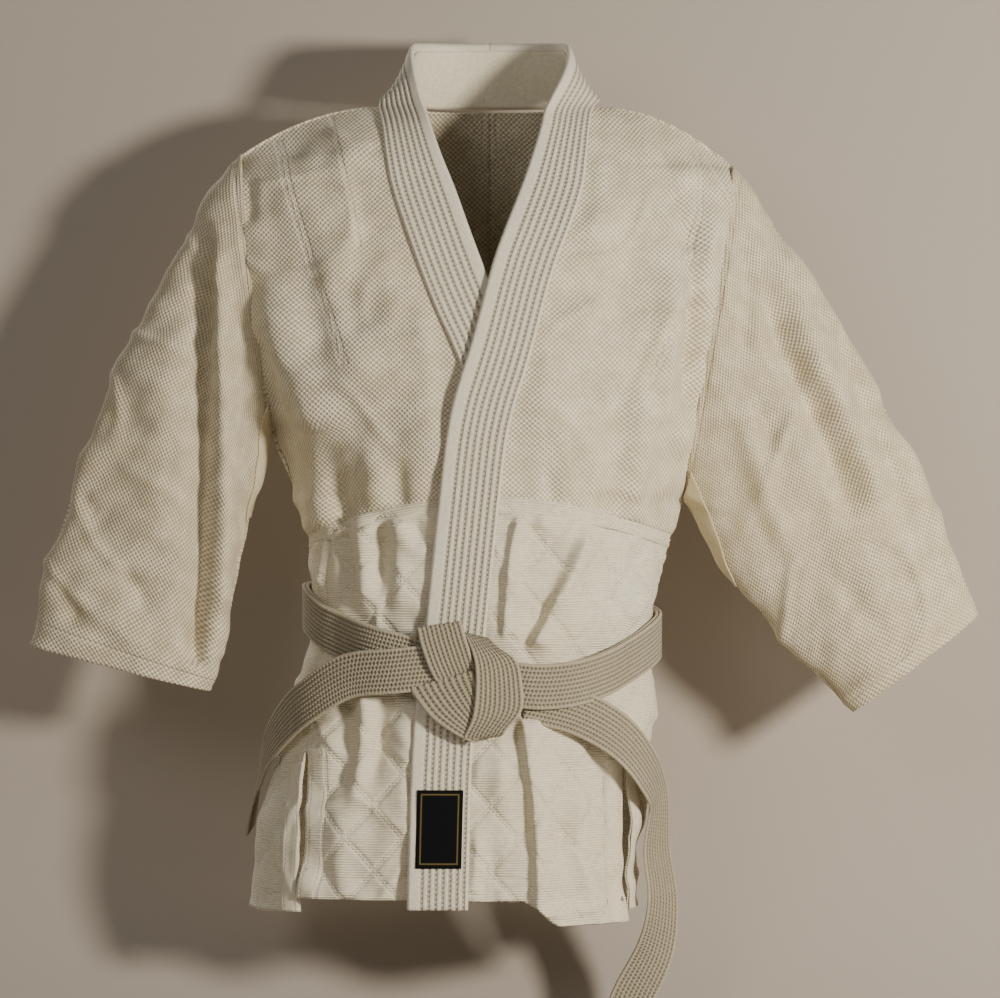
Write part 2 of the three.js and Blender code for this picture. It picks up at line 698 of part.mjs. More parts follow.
/** A belt end laid flat over the turns: four corners in x and z, and how far in front it lies. */
function knotPiece(name, corners, front) {
  const place = (a, t, w) => {
    const x = mid(mid(corners[0][0], corners[1][0], a), mid(corners[3][0], corners[2][0], a), t);
    const z = mid(mid(corners[0][1], corners[1][1], a), mid(corners[3][1], corners[2][1], a), t);
    const p = beltPlace(0.5, angleAt(x, BELT_Z), 2 * TURN + front + w);
    return new THREE.Vector3(x, p.y, BELT_Z + z);
  };
  add(name, swept({ ...strip(steps(4), 0, BELT_THICK), stations: steps(4), place }), "belt");
}
knotPiece("knot_upper_fold", [[-69, -4], [-30, 4], [-14, -40], [-52, -47]], 1.6);
knotPiece("knot_lower_fold", [[-71, -53], [-15, -46], [-15, -94], [-45, -88]], 1.6);
knotPiece("knot_loop", [[-11, -17], [28, -25], [28, -86], [-8, -93]], 2.2);

/** A free belt end: rows of [section angle, z below the belt, lift, facing angle]. */
function beltTail(name, rows) {
  const path = new THREE.CatmullRomCurve3(rows.map(([angle, z, lift]) => section(angle, BELT_Z + z, lift)));
  const facing = through(rows.map((row, i) => [-i, row[3]]));
  const place = (a, t, w) => {
    const p = path.getPoint(t);
    const along = path.getTangent(t);
    const turn = THREE.MathUtils.degToRad(facing(-t * (rows.length - 1)));
    const out = new THREE.Vector3(Math.sin(turn), -Math.cos(turn), 0);
    const across = along.clone().cross(out).normalize();
    out.crossVectors(across, along).normalize();
    return p.addScaledVector(across, (a - 0.5) * BELT_WIDTH).addScaledVector(out, w);
  };
  add(name, swept({ ...strip([0, 0.5, 1], 0, BELT_THICK), stations: steps(18), place }), "belt");
}
beltTail("belt_tail_right", [
  [-20, -36, FRONT_STACK + 2 * TURN + 0.8, -14],
  [-37, -42, 18, -30],
  [-53, -65, 14, -50],
  [-67, -85, 9, -66],
  [-84, -111, 8, -84],
  [-94, -134, 8, -92],
  [-100, -157, 9, -96],
  [-104, -190, 10, -98],
]);
beltTail("belt_tail_left", [
  [30, -79, 21, 18],
  [44, -101, 19, 38],
  [58, -129, 21, 56],
  [74, -157, 15, 60],
  [80, -203, 15, 52],
  [80, -249, 21, 46],
  [82, -295, 14, 28],
  [82, -339, -6, 12],
  [82, -362, -14, 8],
]);

// ---- woven label near the end of the left lapel ----
const LABEL = { width: 41, height: 70, top: -623 };
const labelSpan = [0.5 - LABEL.width / LAPEL_WIDTH / 2, 0.5 + LABEL.width / LAPEL_WIDTH / 2];
add(
  "label_patch",
  swept({
    ...strip([labelSpan[0], 0.5, labelSpan[1]], BAND.high + GAP, BAND.high + GAP + 1),
    stations: steps(6, LABEL.top, LABEL.top - LABEL.height),
    place: lapelPlace("left"),
  }),
  "label",
);

export default jacket;
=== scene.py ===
"""A judo style jacket with its belt tied, as it hangs on a neck and shoulder form.

Sizes are millimetres inside the classes and metres in the finished meshes. +Z is up, the front
faces -Y and the wearer's left is at +X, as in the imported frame.
"""
import logging
import math
from dataclasses import dataclass, field
from enum import Enum
from typing import Callable, Sequence

import bmesh
import bpy
import numpy as np
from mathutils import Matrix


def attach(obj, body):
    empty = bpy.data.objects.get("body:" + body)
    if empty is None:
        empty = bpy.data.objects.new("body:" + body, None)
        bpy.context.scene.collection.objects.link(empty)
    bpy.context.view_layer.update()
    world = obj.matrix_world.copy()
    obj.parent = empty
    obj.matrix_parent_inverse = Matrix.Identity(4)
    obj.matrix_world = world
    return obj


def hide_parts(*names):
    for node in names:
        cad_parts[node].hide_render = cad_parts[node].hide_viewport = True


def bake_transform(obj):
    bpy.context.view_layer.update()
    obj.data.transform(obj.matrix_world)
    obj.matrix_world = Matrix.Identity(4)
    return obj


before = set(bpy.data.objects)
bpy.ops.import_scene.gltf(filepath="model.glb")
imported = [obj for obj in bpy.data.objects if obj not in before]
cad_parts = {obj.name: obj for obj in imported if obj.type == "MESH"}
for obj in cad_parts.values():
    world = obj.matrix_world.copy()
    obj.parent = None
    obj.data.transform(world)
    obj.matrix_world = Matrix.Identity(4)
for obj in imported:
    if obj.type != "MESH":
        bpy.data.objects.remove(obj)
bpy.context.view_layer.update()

log = logging.getLogger("jacket")
Array = np.ndarray
Place = Callable[[Array, Array], Array]
Stitching = Callable[[Array, Array, Array], Array]
Rows = Sequence[tuple[float, float]]
Points = Sequence[Sequence[float]]
Span = tuple[float, float]
Triple = tuple[float, float, float]
Socket = bpy.types.NodeSocket
Piece = bpy.types.Object
Material = bpy.types.Material

MM = 0.001
CLOTH_UV = "cloth"
SEAM_UV = "seam"
# rows of stitching on a band, in mm: place of the first row, distance between rows, and their number
LAPEL_ROWS = (13.0, 6.3, 7)
BELT_ROWS = (4.3, 4.05, 9)
# stitch lengths in mm, drawn a little long so that single stitches show
SEAM_STITCH, QUILT_STITCH = 4.2, 4.6
# widths of tapes, turned-up hems and facings in mm
WAIST_TAPE, BACK_TAPE, CUFF, HEM, FACING = 15, 16, 22, 20, 19
# lengths in mm that turn a share of a cloth into a distance: skirts, half a panel and round a sleeve
FRONT_SKIRT, BACK_SKIRT, SIDE_HALF, SLEEVE_ROUND = 358, 367, 250, 700
# diamond of the quilting and the label, width and height in mm
DIAMOND = (52.0, 58.0)
LABEL_SIZE = (41.0, 70.0)
# distance in mm that stands for no stitch line nearby
NO_SEAM = 40.0


class Side(Enum):
    """The wearer's side, with its sign along X."""

    LEFT = 1
    RIGHT = -1

    @property
    def word(self) -> str:
        """The word used in node and piece names."""
        return self.name.lower()


class Face(Enum):
    """Front or back of the body, with its sign along Y."""

    FRONT = -1
    BACK = 1


# ---------------------------------------------------------------- numbers and curves


def mix(a: Array, b: Array, t: Array) -> Array:
    """Value between a and b at share t."""
    return a + (b - a) * t


def rise(v: Array, low: float, high: float) -> Array:
    """Smooth step from 0 at low to 1 at high."""
    t = np.clip((np.asarray(v, float) - low) / (high - low), 0, 1)
    return t * t * (3 - 2 * t)


def fall(v: Array, low: float, high: float) -> Array:
    """Smooth step from 1 at low to 0 at high."""
    return 1 - rise(v, low, high)


def through(rows: Rows) -> Callable[[Array], Array]:
    """Make a smooth function through rows of (position, value) in falling order of position.

    Args:
        rows: the points that it passes.

    Returns:
        A function of position, flat beyond both ends.
    """
    pos, val = (np.array(c, float) for c in zip(*rows))
    n = len(pos)
    back, ahead = np.maximum(np.arange(n) - 1, 0), np.minimum(np.arange(n) + 1, n - 1)
    slope = (val[ahead] - val[back]) / (pos[ahead] - pos[back])

    def value(p: Array) -> Array:
        """Value of the smooth line at each position.

        Args:
            p: positions.

        Returns:
            Values at these positions.
        """
        p = np.asarray(p, float)
        i = np.clip(np.searchsorted(-pos, -p, side="right") - 1, 0, n - 2)
        h = pos[i + 1] - pos[i]
        t = np.clip((p - pos[i]) / h, 0, 1)
        t2, t3 = t * t, t * t * t
        return (
            (2 * t3 - 3 * t2 + 1) * val[i]
            + (t3 - 2 * t2 + t) * h * slope[i]
            + (3 * t2 - 2 * t3) * val[i + 1]
            + (t3 - t2) * h * slope[i + 1]
        )

    return value


def curve(knots: Array, points: Array, fine: Array) -> Array:
    """Smooth curve through points that stand at knots, sampled at fine."""
    return np.stack([through(list(zip(-knots, column)))(-fine) for column in points.T], axis=1)


def path_length(points: Array) -> float:
    """Length of a line of points."""
    return float(np.linalg.norm(np.diff(points, axis=0), axis=1).sum())


def spline(points: Points, count: int) -> Array:
    """Sample a smooth curve through points at even steps of its length.

    Args:
        points: the points that it passes.
        count: how many samples to return.

    Returns:
        An array of count points.
    """
    p = np.array(points, float)
    gaps = np.linalg.norm(np.diff(p, axis=0), axis=1)
    knots = np.concatenate([[0], np.cumsum(np.sqrt(gaps))])
    dense = curve(knots, p, np.linspace(0, knots[-1], 40 * len(p)))
    length = np.concatenate([[0], np.cumsum(np.linalg.norm(np.diff(dense, axis=0), axis=1))])
    even = np.linspace(0, length[-1], count)
    return np.stack([np.interp(even, length, column) for column in dense.T], axis=1)


def unit(v: Array) -> Array:
    """Vectors of length one along v."""
    return v / np.maximum(np.linalg.norm(v, axis=-1, keepdims=True), 1e-9)


# ---------------------------------------------------------------- folds


@dataclass(frozen=True)
class Fold:
    """A crease or a roll, as a line of (x, z) points from its top down.

    A positive height stands out of the cloth. west and east are its reach to either side.
    """

    line: tuple[tuple[float, float], ...]
    height: float
    west: float = 10.0
    east: float = 10.0
    ends: tuple[float, float] = (0.3, 0.3)

    def at(self, x: Array, z: Array) -> Array:
        """Height of the fold at points (x, z).

        Args:
            x: distances from the middle, in mm.
            z: heights, in mm.

        Returns:
            Points of the cloth, in mm.
        """
        path = spline(self.line, 14)
        best = np.full(x.shape, 1e9)
        off, share = np.zeros(x.shape), np.zeros(x.shape)
        n = len(path) - 1
        for i in range(n):
            a, d = path[i], path[i + 1] - path[i]
            s = np.clip(((x - a[0]) * d[0] + (z - a[1]) * d[1]) / (d @ d), 0, 1)
            ex, ez = x - a[0] - s * d[0], z - a[1] - s * d[1]
            dist = np.hypot(ex, ez)
            near = dist < best
            best = np.where(near, dist, best)
            off = np.where(near, np.sign(d[0] * ez - d[1] * ex) * dist, off)
            share = np.where(near, (i + s) / n, share)
        reach = np.where(off > 0, self.east, self.west)
        start = rise(share, 0, self.ends[0]) if self.ends[0] else 1.0
        end = rise(1 - share, 0, self.ends[1]) if self.ends[1] else 1.0
        return self.height * np.exp(-((off / reach) ** 2)) * start * end


def undulation(x: Array, z: Array, seed: int, reach: float, height: float) -> Array:
    """Slow irregular waves, the looseness of washed cotton.

    Args:
        x: first coordinate.
        z: second coordinate.
        seed: which waves to draw.
        reach: typical distance between two crests.
        height: typical height.

    Returns:
        The height of the waves.
    """
    rng = np.random.default_rng(seed)
    total = np.zeros(np.shape(x))
    for _ in range(9):
        turn, phase = rng.uniform(0, math.pi), rng.uniform(0, 2 * math.pi)
        k = 2 * math.pi / (reach * rng.uniform(0.6, 1.7))
        total += np.sin(k * (x * math.cos(turn) + z * math.sin(turn)) + phase)
    return height * total / 3


@dataclass(frozen=True)
class Drape:
    """Everything that lifts or sinks a cloth: folds, slow waves and puckers."""

    folds: tuple[Fold, ...] = ()
    seed: int = 1
    reach: float = 90.0
    height: float = 1.4

    def at(self, x: Array, z: Array) -> Array:
        """Height of the drape at points (x, z).

        Args:
            x: distances from the middle, in mm.
            z: heights, in mm.

        Returns:
            Points of the cloth, in mm.
        """
        total = undulation(x, z, self.seed, self.reach, self.height)
        total += undulation(x, z, self.seed + 50, self.reach / 2.6, self.height * 0.42)
        ridge = np.abs(undulation(x, z, self.seed + 90, self.reach * 1.3, 1.0))
        total += self.height * 1.05 * np.exp(-((ridge / 0.22) ** 2))
        for fold in self.folds:
            total += fold.at(x, z)
        return total


# ---------------------------------------------------------------- the worn shape of the body


def pair(left: object, right: object) -> dict:
    """Field with one value for each side."""
    return field(default_factory=lambda: {Side.LEFT: left, Side.RIGHT: right})


@dataclass
class Figure:
    """The shape that the jacket hangs in, and the lines it is cut along; sizes are in mm.

    Names that end in half are distances from x = 0, and depths are given from the neck to the hem.
    """

    collar_rise: float = 56
    waist: float = -368
    waist_fall: float = 0.00115
    belt_z: float = -480
    vent_top: float = -577
    hem: float = -722
    hem_dip: float = 24
    back_hem: float = -735
    neck_half: float = 100
    roundness: float = 2.4
    shoulder_roll: float = 55
    arm_depth: float = 48
    lapel_width: float = 55
    lapel_core: float = 6.4
    over_lift: float = 7.2
    belt_width: float = 41
    tips: dict = pair((226, -57), (232, -46))
    underarms: dict = pair((178, -361), (204, -296))
    waist_half: dict = pair(167, 168)
    belt_half: dict = pair(154, 169)
    hip_half: dict = pair(150, 192)
    hem_half: dict = pair(138, 220)
    vents: dict = pair((117, 119, 124), (-142, -164, -173))
    vent_gap: float = 5
    front_depth: tuple = (46, 112, 108, 100, 106, 114)
    back_depth: tuple = (58, 98, 94, 88, 94, 100)

    def __post_init__(self) -> None:
        """Make the smooth outlines from the sizes."""
        b, w = self.belt_z, self.belt_width / 2
        self.side_line, self.vent_line = {}, {}
        for side in Side:
            ux, uz = self.underarms[side]
            hip, hem = self.hip_half[side], self.hem_half[side]
            self.side_line[side] = through(
                [
                    (uz, ux),
                    (min(uz, self.waist) - 24, self.waist_half[side]),
                    (b + w, self.belt_half[side]),
                    (b - w, self.belt_half[side]),
                    (self.vent_top, hip),
                    (mix(self.vent_top, self.back_hem, 0.6), mix(hip, hem, 0.9)),
                    (self.back_hem, hem),
                ]
            )
            v = self.vents[side]
            self.vent_line[side] = through([(self.waist, v[0]), (self.vent_top, v[1]), (self.hem, v[2])])
        self.depth_line = {
            Face.FRONT: self._depths(self.front_depth),
            Face.BACK: self._depths(self.back_depth),
        }
        self.lapel_centre = {
            Side.LEFT: through(
                [(-3, 72), (-80, 56), (-150, 31), (-227, 10), (-292, -9), (-368, -19)]
                + [(-480, -31), (-577, -42), (-722, -47)]
            ),
            Side.RIGHT: through(
                [(-3, -80), (-55, -68), (-105, -52), (-170, -28), (-240, 2), (-310, 18)]
                + [(-368, 22), (-480, 14), (-577, 5), (-722, -1)]
            ),
        }

    def _depths(self, d: Sequence[float]) -> Callable[[Array], Array]:
        """Depth of the body over height, from the neck to the hem.

        Args:
            d: depth at the chest, in mm.

        Returns:
            A function that gives the depth at a height.
        """
        return through(
            [
                (self.collar_rise, d[0] - 8),
                (0, d[0]),
                (-60, mix(d[0], d[1], 0.4)),
                (-150, mix(d[0], d[1], 0.8)),
                (-250, d[1]),
                (self.waist, d[2]),
                (self.belt_z, d[3]),
                (self.vent_top, d[4]),
                (self.back_hem, d[5]),
            ]
        )

    def waist_line(self, x: Array) -> Array:
        """Height of the waist seam over x."""
        return self.waist - self.waist_fall * x * x

    def outer_half(self, z: Array, side: Side) -> Array:
        """Distance of the body's outer edge from x = 0.

        Args:
            z: height from the neck, in mm.
            side: the side of the jacket.

        Returns:
            Distance of the side from the middle, in mm.
        """
        z = np.asarray(z, float)
        (tx, tz), (ux, uz) = self.tips[side], self.underarms[side]
        shoulder = self.neck_half + (tx - self.neck_half) * np.sqrt(np.clip(z / tz, 0, 1))
        arm = mix(tx, ux, (tz - z) / (tz - uz))
        return np.where(z > tz, shoulder, np.where(z > uz, arm, self.side_line[side](z)))

    def shoulder_line(self, x: Array) -> Array:
        """Height of the shoulder line over x; it climbs inside the neck.

        Args:
            x: distance from the middle, in mm.

        Returns:
            Height of the shoulder line, in mm.
        """
        tx = np.where(x >= 0, self.tips[Side.LEFT][0], self.tips[Side.RIGHT][0])
        tz = np.where(x >= 0, self.tips[Side.LEFT][1], self.tips[Side.RIGHT][1])
        out = np.abs(x) - self.neck_half
        return np.where(out < 0, -0.8 * out, tz * (out / (tx - self.neck_half)) ** 2)

    def armhole_depth(self, z: Array, side: Side) -> Array:
        """Half depth of the armhole's edge.

        Args:
            z: height from the neck, in mm.
            side: the side of the jacket.

        Returns:
            Depth of the armhole line, in mm.
        """
        tz, uz = self.tips[side][1], self.underarms[side][1]
        t = np.clip(2 * (z - uz) / (tz - uz) - 1, -1, 1)
        return self.arm_depth * np.sqrt(1 - t * t)

    def bulge(self, v: Array) -> Array:
        """Outline of the rounded section, 1 in the middle and 0 at the edge."""
        n = self.roundness
        return np.maximum(0, 1 - np.clip(np.abs(v), 0, 1) ** n) ** (1 / n)

    def y(self, x: Array, z: Array, face: Face) -> Array:
        """y of the body's surface on its front or back.

        Args:
            x: distance from the middle, in mm.
            z: height from the neck, in mm.
            face: front or back.

        Returns:
            Depth of the surface, in mm.
        """
        x, z = np.broadcast_arrays(np.asarray(x, float), np.asarray(z, float))
        left, right = self.outer_half(z, Side.LEFT), self.outer_half(z, Side.RIGHT)
        across = np.clip((x - (left - right) / 2) / ((left + right) / 2), -1, 1)
        on_left = across >= 0
        edge = np.where(on_left, self.armhole_depth(z, Side.LEFT), self.armhole_depth(z, Side.RIGHT))
        under = np.where(on_left, self.underarms[Side.LEFT][1], self.underarms[Side.RIGHT][1])
        flat = mix(0.8, 1, 1 - rise((z - under + 90) / 90, 0, 1))
        base = self.bulge(flat)
        rounded = (self.bulge(flat * across) - base) / (1 - base)
        full = self.depth_line[face](z)
        roll = np.clip((self.shoulder_line(x) - z) / self.shoulder_roll, 0, 1)
        return face.value * (edge + (full - edge) * rounded) * np.sqrt(1 - (1 - roll) ** 2)

    def lapel_edge(self, side: Side, z: Array, part: int) -> Array:
        """x of a lapel's edge; part is -1 for its free edge and 1 for its sewn edge.

        Args:
            side: the side of the jacket.
            z: height from the neck, in mm.
            part: place across the band, from -1 to 1.

        Returns:
            Distance of the line from the middle, in mm.
        """
        line = self.lapel_centre[side]
        slope = (line(z + 4) - line(z - 4)) / 8
        across = self.lapel_width / 2 * np.sqrt(1 + slope * slope)
        return line(z) + part * side.value * across * mix(0.78, 1, fall(z, -90, -5))

    def front(self, x: Array, z: Array, side: Side) -> Array:
        """y of a front's surface; the left front rides over the right lapel.

        Args:
            x: distance from the middle, in mm.
            z: height from the neck, in mm.
            side: the side of the jacket.

        Returns:
            Depth of the front with its bands, in mm.
        """
        y = self.y(x, z, Face.FRONT)
        if side is Side.LEFT:
            y = y - self.over_lift * fall(x, 58, 104) * fall(z, -125, -60)
        return y

    def section(self, angle: Array, z: Array, lift: Array = 0.0) -> Array:
        """Points of the body's section; angle 0 is the front and 90 the wearer's left.

        Args:
            angle: angle round the body, in degrees.
            z: height from the neck, in mm.
            lift: distance outside the body, in mm.

        Returns:
            Points of the section, in mm.
        """
        angle, z = np.broadcast_arrays(np.asarray(angle, float), np.asarray(z, float))
        left, right = self.outer_half(z, Side.LEFT), self.outer_half(z, Side.RIGHT)
        turn = np.radians(angle)
        share = np.sign(np.sin(turn)) * np.abs(np.sin(turn)) ** (2 / self.roundness)
        x = (left - right) / 2 + (left + right) / 2 * share
        y = np.where(np.cos(turn) > 0, self.y(x, z, Face.FRONT), self.y(x, z, Face.BACK))
        return np.stack([x + lift * np.sin(turn), y - lift * np.cos(turn), z], axis=-1)

    def angle_at(self, x: Array, z: Array) -> Array:
        """Section angle at which the front passes x.

        Args:
            x: distance from the middle, in mm.
            z: height from the neck, in mm.

        Returns:
            Angle round the body, in degrees.
        """
        left, right = self.outer_half(z, Side.LEFT), self.outer_half(z, Side.RIGHT)
        share = np.clip((x - (left - right) / 2) / ((left + right) / 2), -1, 1)
        return np.degrees(np.sign(share) * np.arcsin(np.abs(share) ** (self.roundness / 2)))

    def slit(self, z: Array) -> Array:
        """Half width of the open side vent.

        Args:
            z: height from the neck, in mm.

        Returns:
            Half width of the open vent, in mm.
        """
        open_middle = np.sin(np.pi * np.clip((self.vent_top - z) / (self.vent_top - self.hem), 0, 1))
        sewn = rise(z, self.vent_top - 6, self.vent_top + 2)
        return mix(0.3 + self.vent_gap * 0.5 * open_middle, -1.6, sewn)


BODY = Figure()


# ---------------------------------------------------------------- meshes


def outward(points: Array, centre: Array) -> Array:
    """Normals of a grid of points, turned away from centre.

    Args:
        points: the points, in mm.
        centre: the point to face away from, in mm.

    Returns:
        Directions of length one.
    """
    normal = unit(np.cross(np.gradient(points, axis=1), np.gradient(points, axis=0)))
    if np.sum(normal * (points - centre)) < 0:
        normal = -normal
    return normal


def flat_lengths(points: Array) -> Array:
    """Lay a grid of points flat: distances along its rows and columns, in metres.

    Args:
        points: the points, in mm.

    Returns:
        Lengths along the cloth, in mm.
    """
    across = np.linalg.norm(np.diff(points, axis=1), axis=2)
    down = np.linalg.norm(np.diff(points, axis=0), axis=2)
    u = np.pad(np.cumsum(across, axis=1), ((0, 0), (1, 0)))
    v = np.pad(np.cumsum(down, axis=0), ((1, 0), (0, 0)))
    return np.stack([u, v], axis=-1) * MM


def grid_mesh(
    name: str, points: Array, centre: Array, uv: Array, seam: Array | None = None, weld: bool = False
) -> Piece:
    """Build a grid with bmesh and give it its places and flat coordinates.

    Args:
        name: name of the piece.
        points: rows x columns x 3 places in mm.
        centre: a point, or points, that the faces look away from.
        uv: flat cloth coordinates in metres.
        seam: stitch coordinates, as length along and distance from the nearest stitch line.
        weld: whether edges that meet are joined, and end holes closed.

    Returns:
        The new object.
    """
    rows, columns = points.shape[0] - 1, points.shape[1] - 1
    bm = bmesh.new()
    bmesh.ops.create_grid(bm, x_segments=columns, y_segments=rows, size=0.5)
    for f in bm.faces:
        f.smooth = True
    mesh = bpy.data.meshes.new(name)
    bm.to_mesh(mesh)
    bm.free()
    co = np.empty(len(mesh.vertices) * 3)
    mesh.vertices.foreach_get("co", co)
    co = co.reshape(-1, 3)
    i = np.rint((co[:, 0] + 0.5) * columns).astype(int)
    j = np.rint((co[:, 1] + 0.5) * rows).astype(int)
    mesh.vertices.foreach_set("co", (points[j, i] * MM).ravel())
    corner = np.empty(len(mesh.loops), dtype=np.int32)
    mesh.loops.foreach_get("vertex_index", corner)
    for label, value in ((CLOTH_UV, uv), (SEAM_UV, seam)):
        if value is None:
            value = np.full(uv.shape, 1.0)
        layer = mesh.uv_layers.new(name=label)
        layer.data.foreach_set("uv", value[j, i][corner].astype(np.float32).ravel())
    middle = np.broadcast_to(centre, points.shape)[j, i] * MM
    mesh.update()
    bm = bmesh.new()
    bm.from_mesh(mesh)
    if weld:
        bmesh.ops.remove_doubles(bm, verts=bm.verts, dist=1e-5)
        edges = [e for e in bm.edges if e.is_boundary]
        if edges:
            bmesh.ops.holes_fill(bm, edges=edges, sides=0)
        bmesh.ops.recalc_face_normals(bm, faces=bm.faces)
    else:
        bm.verts.ensure_lookup_table()
        facing = sum(v.normal.dot(v.co - type(v.co)(middle[v.index])) for v in bm.verts)
        if facing < 0:
            bmesh.ops.reverse_faces(bm, faces=bm.faces)
    bm.to_mesh(mesh)
    bm.free()
    obj = bpy.data.objects.new(name, mesh)
    bpy.context.scene.collection.objects.link(obj)
    return obj


def thicken(obj: Piece, thickness: float) -> None:
    """Give a single cloth surface its thickness in mm, inwards.

    Args:
        obj: the cloth to finish.
        thickness: thickness of the cloth, in mm.
    """
    mod = obj.modifiers.new("thickness", "SOLIDIFY")
    mod.thickness = thickness * MM
    mod.offset = -1.0
    mod.use_even_offset = False


@dataclass
class Cloth:
    """One cut piece of cloth on the body.

    place gives its smooth surface; drape lifts it, puff adds quilting, calm settles both where the
    cloth is sewn or tied, flat lays the weave straight and seam marks the stitching.
    """

    name: str
    place: Place
    columns: int
    rows: int
    material: Material
    drape: Drape = Drape()
    lift: float = 0.0
    thickness: float = 2.0
    across: tuple[float, float] = (0.0, 1.0)
    down: tuple[float, float] = (0.0, 1.0)
    seam: Callable[[Array, Array, Array], Array] | None = None
    puff: Callable[[Array], Array] | None = None
    calm: Callable[[Array, Array, Array, Array], Array] | None = None
    flat: Callable[[Array, Array], Array] | None = None
    centre: Callable[[Array, Array], Array] | None = None

    def make(self) -> Piece:
        """Build the piece, dressed and thickened.

        Returns:
            The finished piece.
        """
        a, t = np.meshgrid(
            np.linspace(*self.across, self.columns + 1), np.linspace(*self.down, self.rows + 1)
        )
        base = self.place(a, t)
        middle = self.centre(a, t) if self.centre else base * np.array([0.0, 0.0, 1.0])
        normal = outward(base, middle)
        uv = flat_lengths(base)
        if self.flat:
            uv = self.flat(base, uv)
        height = self.drape.at(base[..., 0], base[..., 2]) * np.where(normal[..., 1] < 0.2, 1.0, 0.35)
        if self.puff:
            height = height + self.puff(uv)
        height = height + self.lift
        if self.calm:
            height = self.calm(base, a, t, height)
        points = base + normal * height[..., None]
        seam = self.seam(base, a, t) * MM if self.seam else None
        obj = grid_mesh(self.name, points, middle, uv, seam)
        obj.data.materials.append(self.material)
        thicken(obj, self.thickness)
        return obj


@dataclass
class Band:
    """A stitched band between two edges: a lapel, a belt, or a fold of its knot."""

    name: str
    free: Array
    sewn: Array
    hint: Array
    thickness: float
    material: Material
    rows: tuple[float, float, int]
    ridge_height: float
    loop: bool = False
    sink: float = 0.0
    cut_width: float | None = None
    across_points: int = 40

    def make(self) -> Piece:
        """Build the band as one closed form with rounded edges.

        Returns:
            The finished piece.
        """
        middle = (self.free + self.sewn) / 2
        reach = self.sewn - self.free
        width = np.linalg.norm(reach, axis=1)
        ahead = np.gradient(middle, axis=0)
        if self.loop:
            ahead[0] = ahead[-1] = middle[1] - middle[-2]
        out = unit(np.cross(ahead, reach))
        out *= np.sign(np.sum(out * self.hint, axis=1, keepdims=True))
        nominal = self.cut_width or float(np.median(width))
        top = np.linspace(0, 1, self.across_points)
        share = np.concatenate([top, top[::-4], top[:1]])
        if share[len(top) + len(top[::-4]) - 1] == 0:
            share = share[:-1]
        is_top = np.arange(len(share)) < len(top)
        d = np.minimum(share, 1 - share) * nominal
        corner = self.thickness / 2
        swell = np.sqrt(np.clip(1 - (1 - np.clip(d / corner, 0, 1)) ** 2, 0, 1))
        w = np.where(is_top, corner + corner * swell, corner - corner * swell)
        first, pitch, count = self.rows
        row = (share * nominal - first) / pitch
        inside = (row > -0.5) & (row < count - 0.5) & is_top
        w = w - np.where(inside, self.ridge_height * (1 - np.abs(np.sin(np.pi * row))), 0)
        raised = out[:, None] * (w - self.sink)[:, None]
        points = self.free[:, None] + reach[:, None] * share[:, None] + raised
        length = np.concatenate([[0], np.cumsum(np.linalg.norm(np.diff(middle, axis=0), axis=1))])
        uv = np.stack(np.broadcast_arrays(length[:, None], share * nominal), axis=-1)
        obj = grid_mesh(self.name, points, middle[:, None, :], uv * MM, weld=True)
        obj.data.materials.append(self.material)
        return obj


def stitch_lines(x: Array, z: Array, lines: Sequence[Points], twin: float = 0.0) -> Array:
    """Length along and distance from the nearest of several stitch lines.

    Args:
        x: x of the cloth's points in mm.
        z: z of the cloth's points in mm.
        lines: each line as (x, z) points.
        twin: half the distance between two parallel rows, or 0 for one row.

    Returns:
        An array with length along and distance, in mm.
    """
    best, along = np.full(x.shape, NO_SEAM), np.zeros(x.shape)
    for line in lines:
        path = spline(line, 24)
        run = 0.0
        for i in range(len(path) - 1):
            a, d = path[i], path[i + 1] - path[i]
            size = float(np.hypot(*d))
            raw = ((x - a[0]) * d[0] + (z - a[1]) * d[1]) / size**2
            s = np.clip(raw, 0, 1)
            beyond = np.where((i == 0) & (raw < 0) | (i == len(path) - 2) & (raw > 1), 6.0, 0.0)
            dist = np.hypot(x - a[0] - s * d[0], z - a[1] - s * d[1]) + beyond
            near = dist < best
            best, along = np.where(near, dist, best), np.where(near, run + s * size, along)
            run += size
    return stitches(along, best - twin)


def stitches(along: Array, away: Array) -> Array:
    """Seam coordinates in mm: length along a stitch line and distance from it."""
    return np.stack(np.broadcast_arrays(along, np.abs(away)), axis=-1)


def tape_edges(share: Array) -> Array:
    """Distance from the two rows of stitches that hold a tape, as a share of its width."""
    return np.minimum(np.abs(share - 0.14), np.abs(share - 0.86))


def nearest_seam(*seams: Array) -> Array:
    """Join several stitch coordinates, keeping the nearest line at each point.

    Returns:
        Distance to the nearest seam, in mm.
    """
    stack = np.stack(seams)
    pick = np.argmin(stack[..., 1], axis=0)
    return np.take_along_axis(stack, pick[None, ..., None], axis=0)[0]


# ---------------------------------------------------------------- finishes


def linear(colour: str) -> tuple[float, float, float, float]:
    """Turn an sRGB hex colour to linear light."""
    parts = [int(colour[i : i + 2], 16) / 255 for i in (0, 2, 4)]
    return (*[c / 12.92 if c <= 0.04045 else ((c + 0.055) / 1.055) ** 2.4 for c in parts], 1.0)


def put(
    tree: bpy.types.NodeTree, kind: str, inputs: dict | None = None, **settings: object
) -> bpy.types.Node:
    """Add a node with its settings and links.

    Args:
        tree: the node tree.
        kind: type of the node.
        inputs: input name or index to a socket or a value.
        settings: the node's own settings.

    Returns:
        The new node.
    """
    made = tree.nodes.new(kind)
    for key, value in settings.items():
        setattr(made, key, value)
    for key, value in (inputs or {}).items():
        if isinstance(value, Socket):
            tree.links.new(value, made.inputs[key])
        else:
            made.inputs[key].default_value = value
    return made


